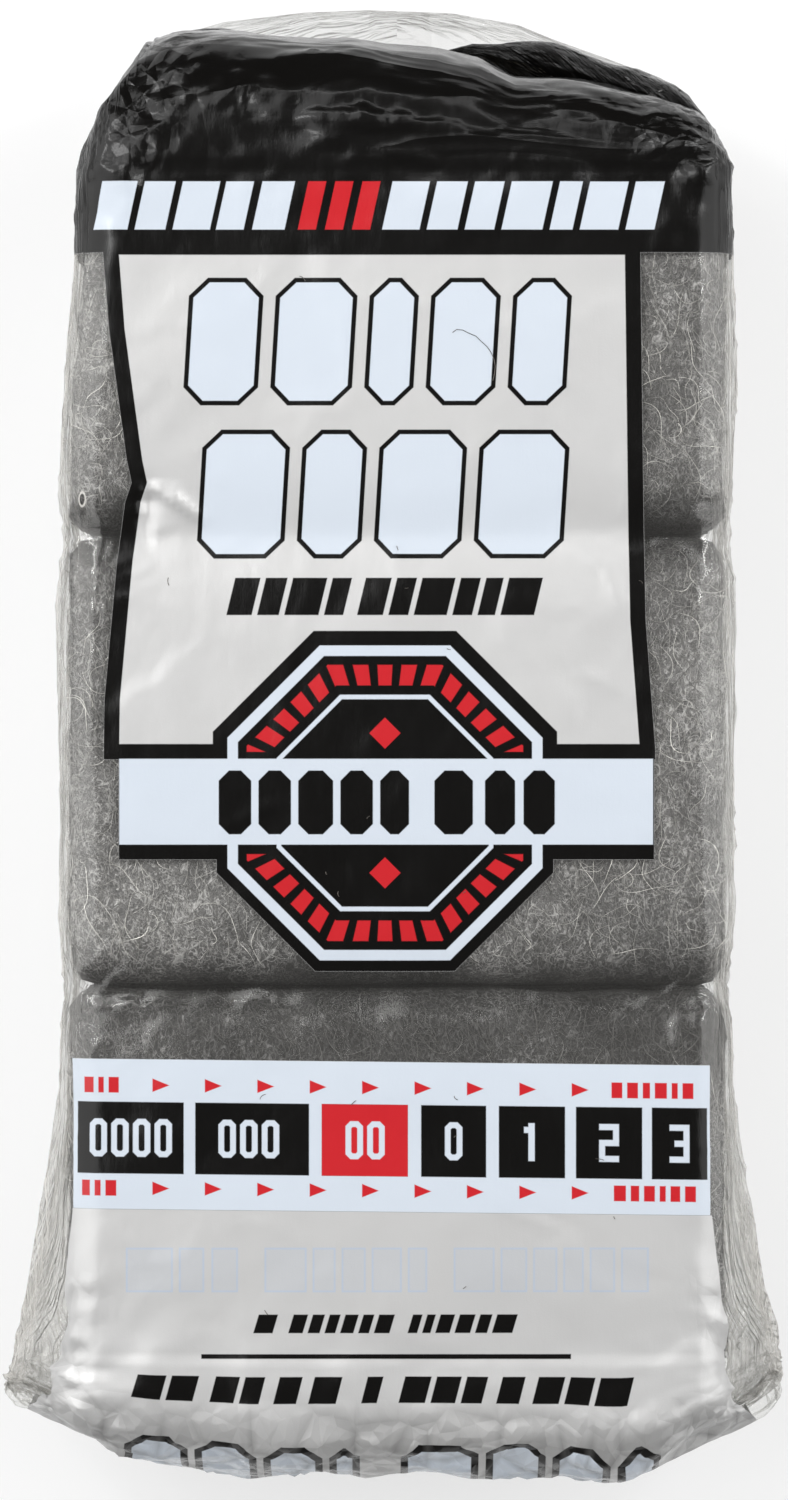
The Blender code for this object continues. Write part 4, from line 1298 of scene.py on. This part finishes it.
def dropFibres(filmSurface):
    bits = looseBits
    rng = np.random.default_rng(8)
    lines = [np.array(looseFibre)]
    for _ in range(bits["count"]):
        start = np.array([rng.uniform(-bits["across"], bits["across"]), rng.uniform(*bits["along"])])
        heading = rng.uniform(0, 2 * math.pi) + np.array([0.0, 0.5, 1.0, 1.5]) * rng.uniform(-1, 1)
        step = rng.uniform(*bits["length"]) / 4
        steps = np.column_stack([np.cos(heading), np.sin(heading)]) * step
        lines.append(np.vstack([start, start + np.cumsum(steps, axis=0)]))
    vertices, faces = [], []
    half = bits["width"] / 2
    for line in lines:
        tangent = np.gradient(line, axis=0)
        across = np.column_stack([-tangent[:, 1], tangent[:, 0]])
        across /= np.linalg.norm(across, axis=1, keepdims=True)
        first = len(vertices)
        for spot, sideways in zip(line, across):
            hit = filmSurface.ray_cast(Vector((spot[0] * mm, spot[1] * mm, 0.2)), Vector((0, 0, -1)))[0]
            for sign, lift in ((1, 0.0), (0, half), (-1, 0.0)):
                place = spot + sideways * sign * half
                vertices.append((place[0] * mm, place[1] * mm, hit.z + (bits["above"] + lift) * mm))
        last = first + 3 * (len(line) - 1)
        for i in range(first, last, 3):
            faces += [(i, i + 3, i + 4, i + 1), (i + 1, i + 4, i + 5, i + 2), (i + 2, i + 5, i + 3, i)]
        faces += [(first, first + 1, first + 2), (last + 2, last + 1, last)]
    mesh = bpy.data.meshes.new("looseFibres")
    mesh.from_pydata(vertices, [], faces)
    faceOutward(mesh)
    material, bench = newMaterial("looseSteel")
    tone = bench.noise(bench.take("ShaderNodeTexCoord", output="Object"), 900.0, 2.0, 0.6)
    shade = bench.blend(tone, (0.05, 0.045, 0.04, 1.0), (0.22, 0.2, 0.18, 1.0))
    body = bench.take("ShaderNodeBsdfPrincipled", {"Base Color": shade, "Metallic": 0.6, "Roughness": 0.4})
    bench.add("ShaderNodeOutputMaterial", {0: body})
    mesh.materials.append(material)
    piece = addObject("looseFibres", mesh)
    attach(piece, "root")


# Floor, light and camera

studio = {
    "cameraAbove": 1200.0,   # of the pack's front
    "viewHeight": 249.0,
    "centre": (-0.5, -0.2),
    "sensor": 36.0,
    "floor": (0.92, 0.92, 0.92, 1.0),
    "floorWhite": 0.62,      # share of plain white in the floor as it is seen
    "world": 0.36,
    "overhead": 0.10,
    "beyond": 0.15,          # share of that light from beyond the top end
}

lamps = {   # place, target, size and power, in metres and watts
    "leftSoftbox": ((-0.80, 0.30, 0.80), (0, 0, 0.03), (1.4, 1.8), 16.0),
    "rightSoftbox": ((0.90, 0.20, 0.75), (0, 0, 0.03), (1.1, 1.6), 10.5),
    "leftStrip": ((-0.50, 0.42, 0.75), (0, 0, 0.03), (0.06, 0.9), 2.4),
    "rightStrip": ((0.55, 0.36, 0.70), (0, 0, 0.03), (0.05, 0.8), 1.7),
    "topSoftbox": ((0.05, 0.8, 1.2), (0, 0.1, 0.03), (1.3, 0.06), 1.6),
}
white = (1.0, 1.0, 1.0, 1.0)


def layFloor(height, half=3.0):
    mesh = bpy.data.meshes.new("floor")
    mesh.from_pydata([(x, y, height) for x, y in ((-half, -half), (half, -half), (half, half), (-half, half))],
                     [], [(0, 1, 2, 3)])
    floor = addObject("floor", mesh)
    material, bench = newMaterial("paleFloor")
    plain = bench.take("ShaderNodeBsdfDiffuse", {"Color": studio["floor"]})
    bright = bench.take("ShaderNodeEmission", {"Color": white, "Strength": 1.0})
    paths = bench.add("ShaderNodeLightPath").outputs
    seen = bench.most(*[Value(bench, paths[f"Is {kind} Ray"]) for kind in ("Camera", "Glossy", "Transmission")])
    bench.add("ShaderNodeOutputMaterial", {0: bench.mix(seen * studio["floorWhite"], plain, bright)})
    mesh.materials.append(material)
    floor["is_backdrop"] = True


def hangLamp(name, place, target, size, power):
    light = bpy.data.lights.new(name, "AREA")
    light.shape = "RECTANGLE"
    light.size, light.size_y = size
    light.energy = power
    lamp = addObject(name, light)
    lamp.location = place
    lamp.rotation_euler = (Vector(target) - Vector(place)).to_track_quat("-Z", "Y").to_euler()


def setStudio():
    scene = bpy.context.scene
    scene.view_settings.view_transform = "Standard"
    world = bpy.data.worlds.new("paleRoom")
    world.use_nodes = True
    world.node_tree.nodes.clear()
    bench = NodeBench(world.node_tree)
    way = bench.add("ShaderNodeSeparateXYZ", {0: bench.take("ShaderNodeTexCoord", output="Generated")}).outputs
    around, overhead, beyond = studio["world"], studio["overhead"], studio["beyond"]
    share = bench.chart(Value(bench, way[1]), [(-1.0, 1.0), (0.3, 1.0), (0.75, beyond), (1.0, beyond)])
    level = bench.chart(Value(bench, way[2]), [(-1.0, around), (0.25, around), (0.8, overhead), (1.0, overhead)])
    room = bench.take("ShaderNodeBackground", {"Color": white, "Strength": level * share})
    backdrop = bench.take("ShaderNodeBackground", {"Color": white, "Strength": 1.0})
    seen = bench.take("ShaderNodeLightPath", output="Is Camera Ray")
    bench.add("ShaderNodeOutputWorld", {0: bench.mix(seen, room, backdrop)})
    scene.world = world
    for name, settings in lamps.items():
        hangLamp(name, *settings)
    camera = bpy.data.cameras.new("camera")
    camera.sensor_width = studio["sensor"]
    camera.lens = studio["sensor"] * studio["cameraAbove"] / studio["viewHeight"]
    camera.clip_end = 10.0
    holder = addObject("camera", camera)
    x, y = studio["centre"]
    holder.location = (x * mm, y * mm, (studio["cameraAbove"] + bagShape["depth"]) * mm)
    scene.camera = holder


def main():
    setStudio()
    film = filmPiece()
    print("film laid:", len(film.data.polygons), "faces")
    filmSurface = BVHTree.FromPolygons([v.co for v in film.data.vertices], [p.vertices[:] for p in film.data.polygons])
    pads = layPads(filmSurface)
    print("pads laid:", sum(len(pad.data.polygons) for pad in pads), "faces")
    dropFibres(filmSurface)
    print("loose fibres dropped")
    lowest = min(min(corner[2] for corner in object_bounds()), 0.0)
    layFloor(lowest - 0.0002)


main()
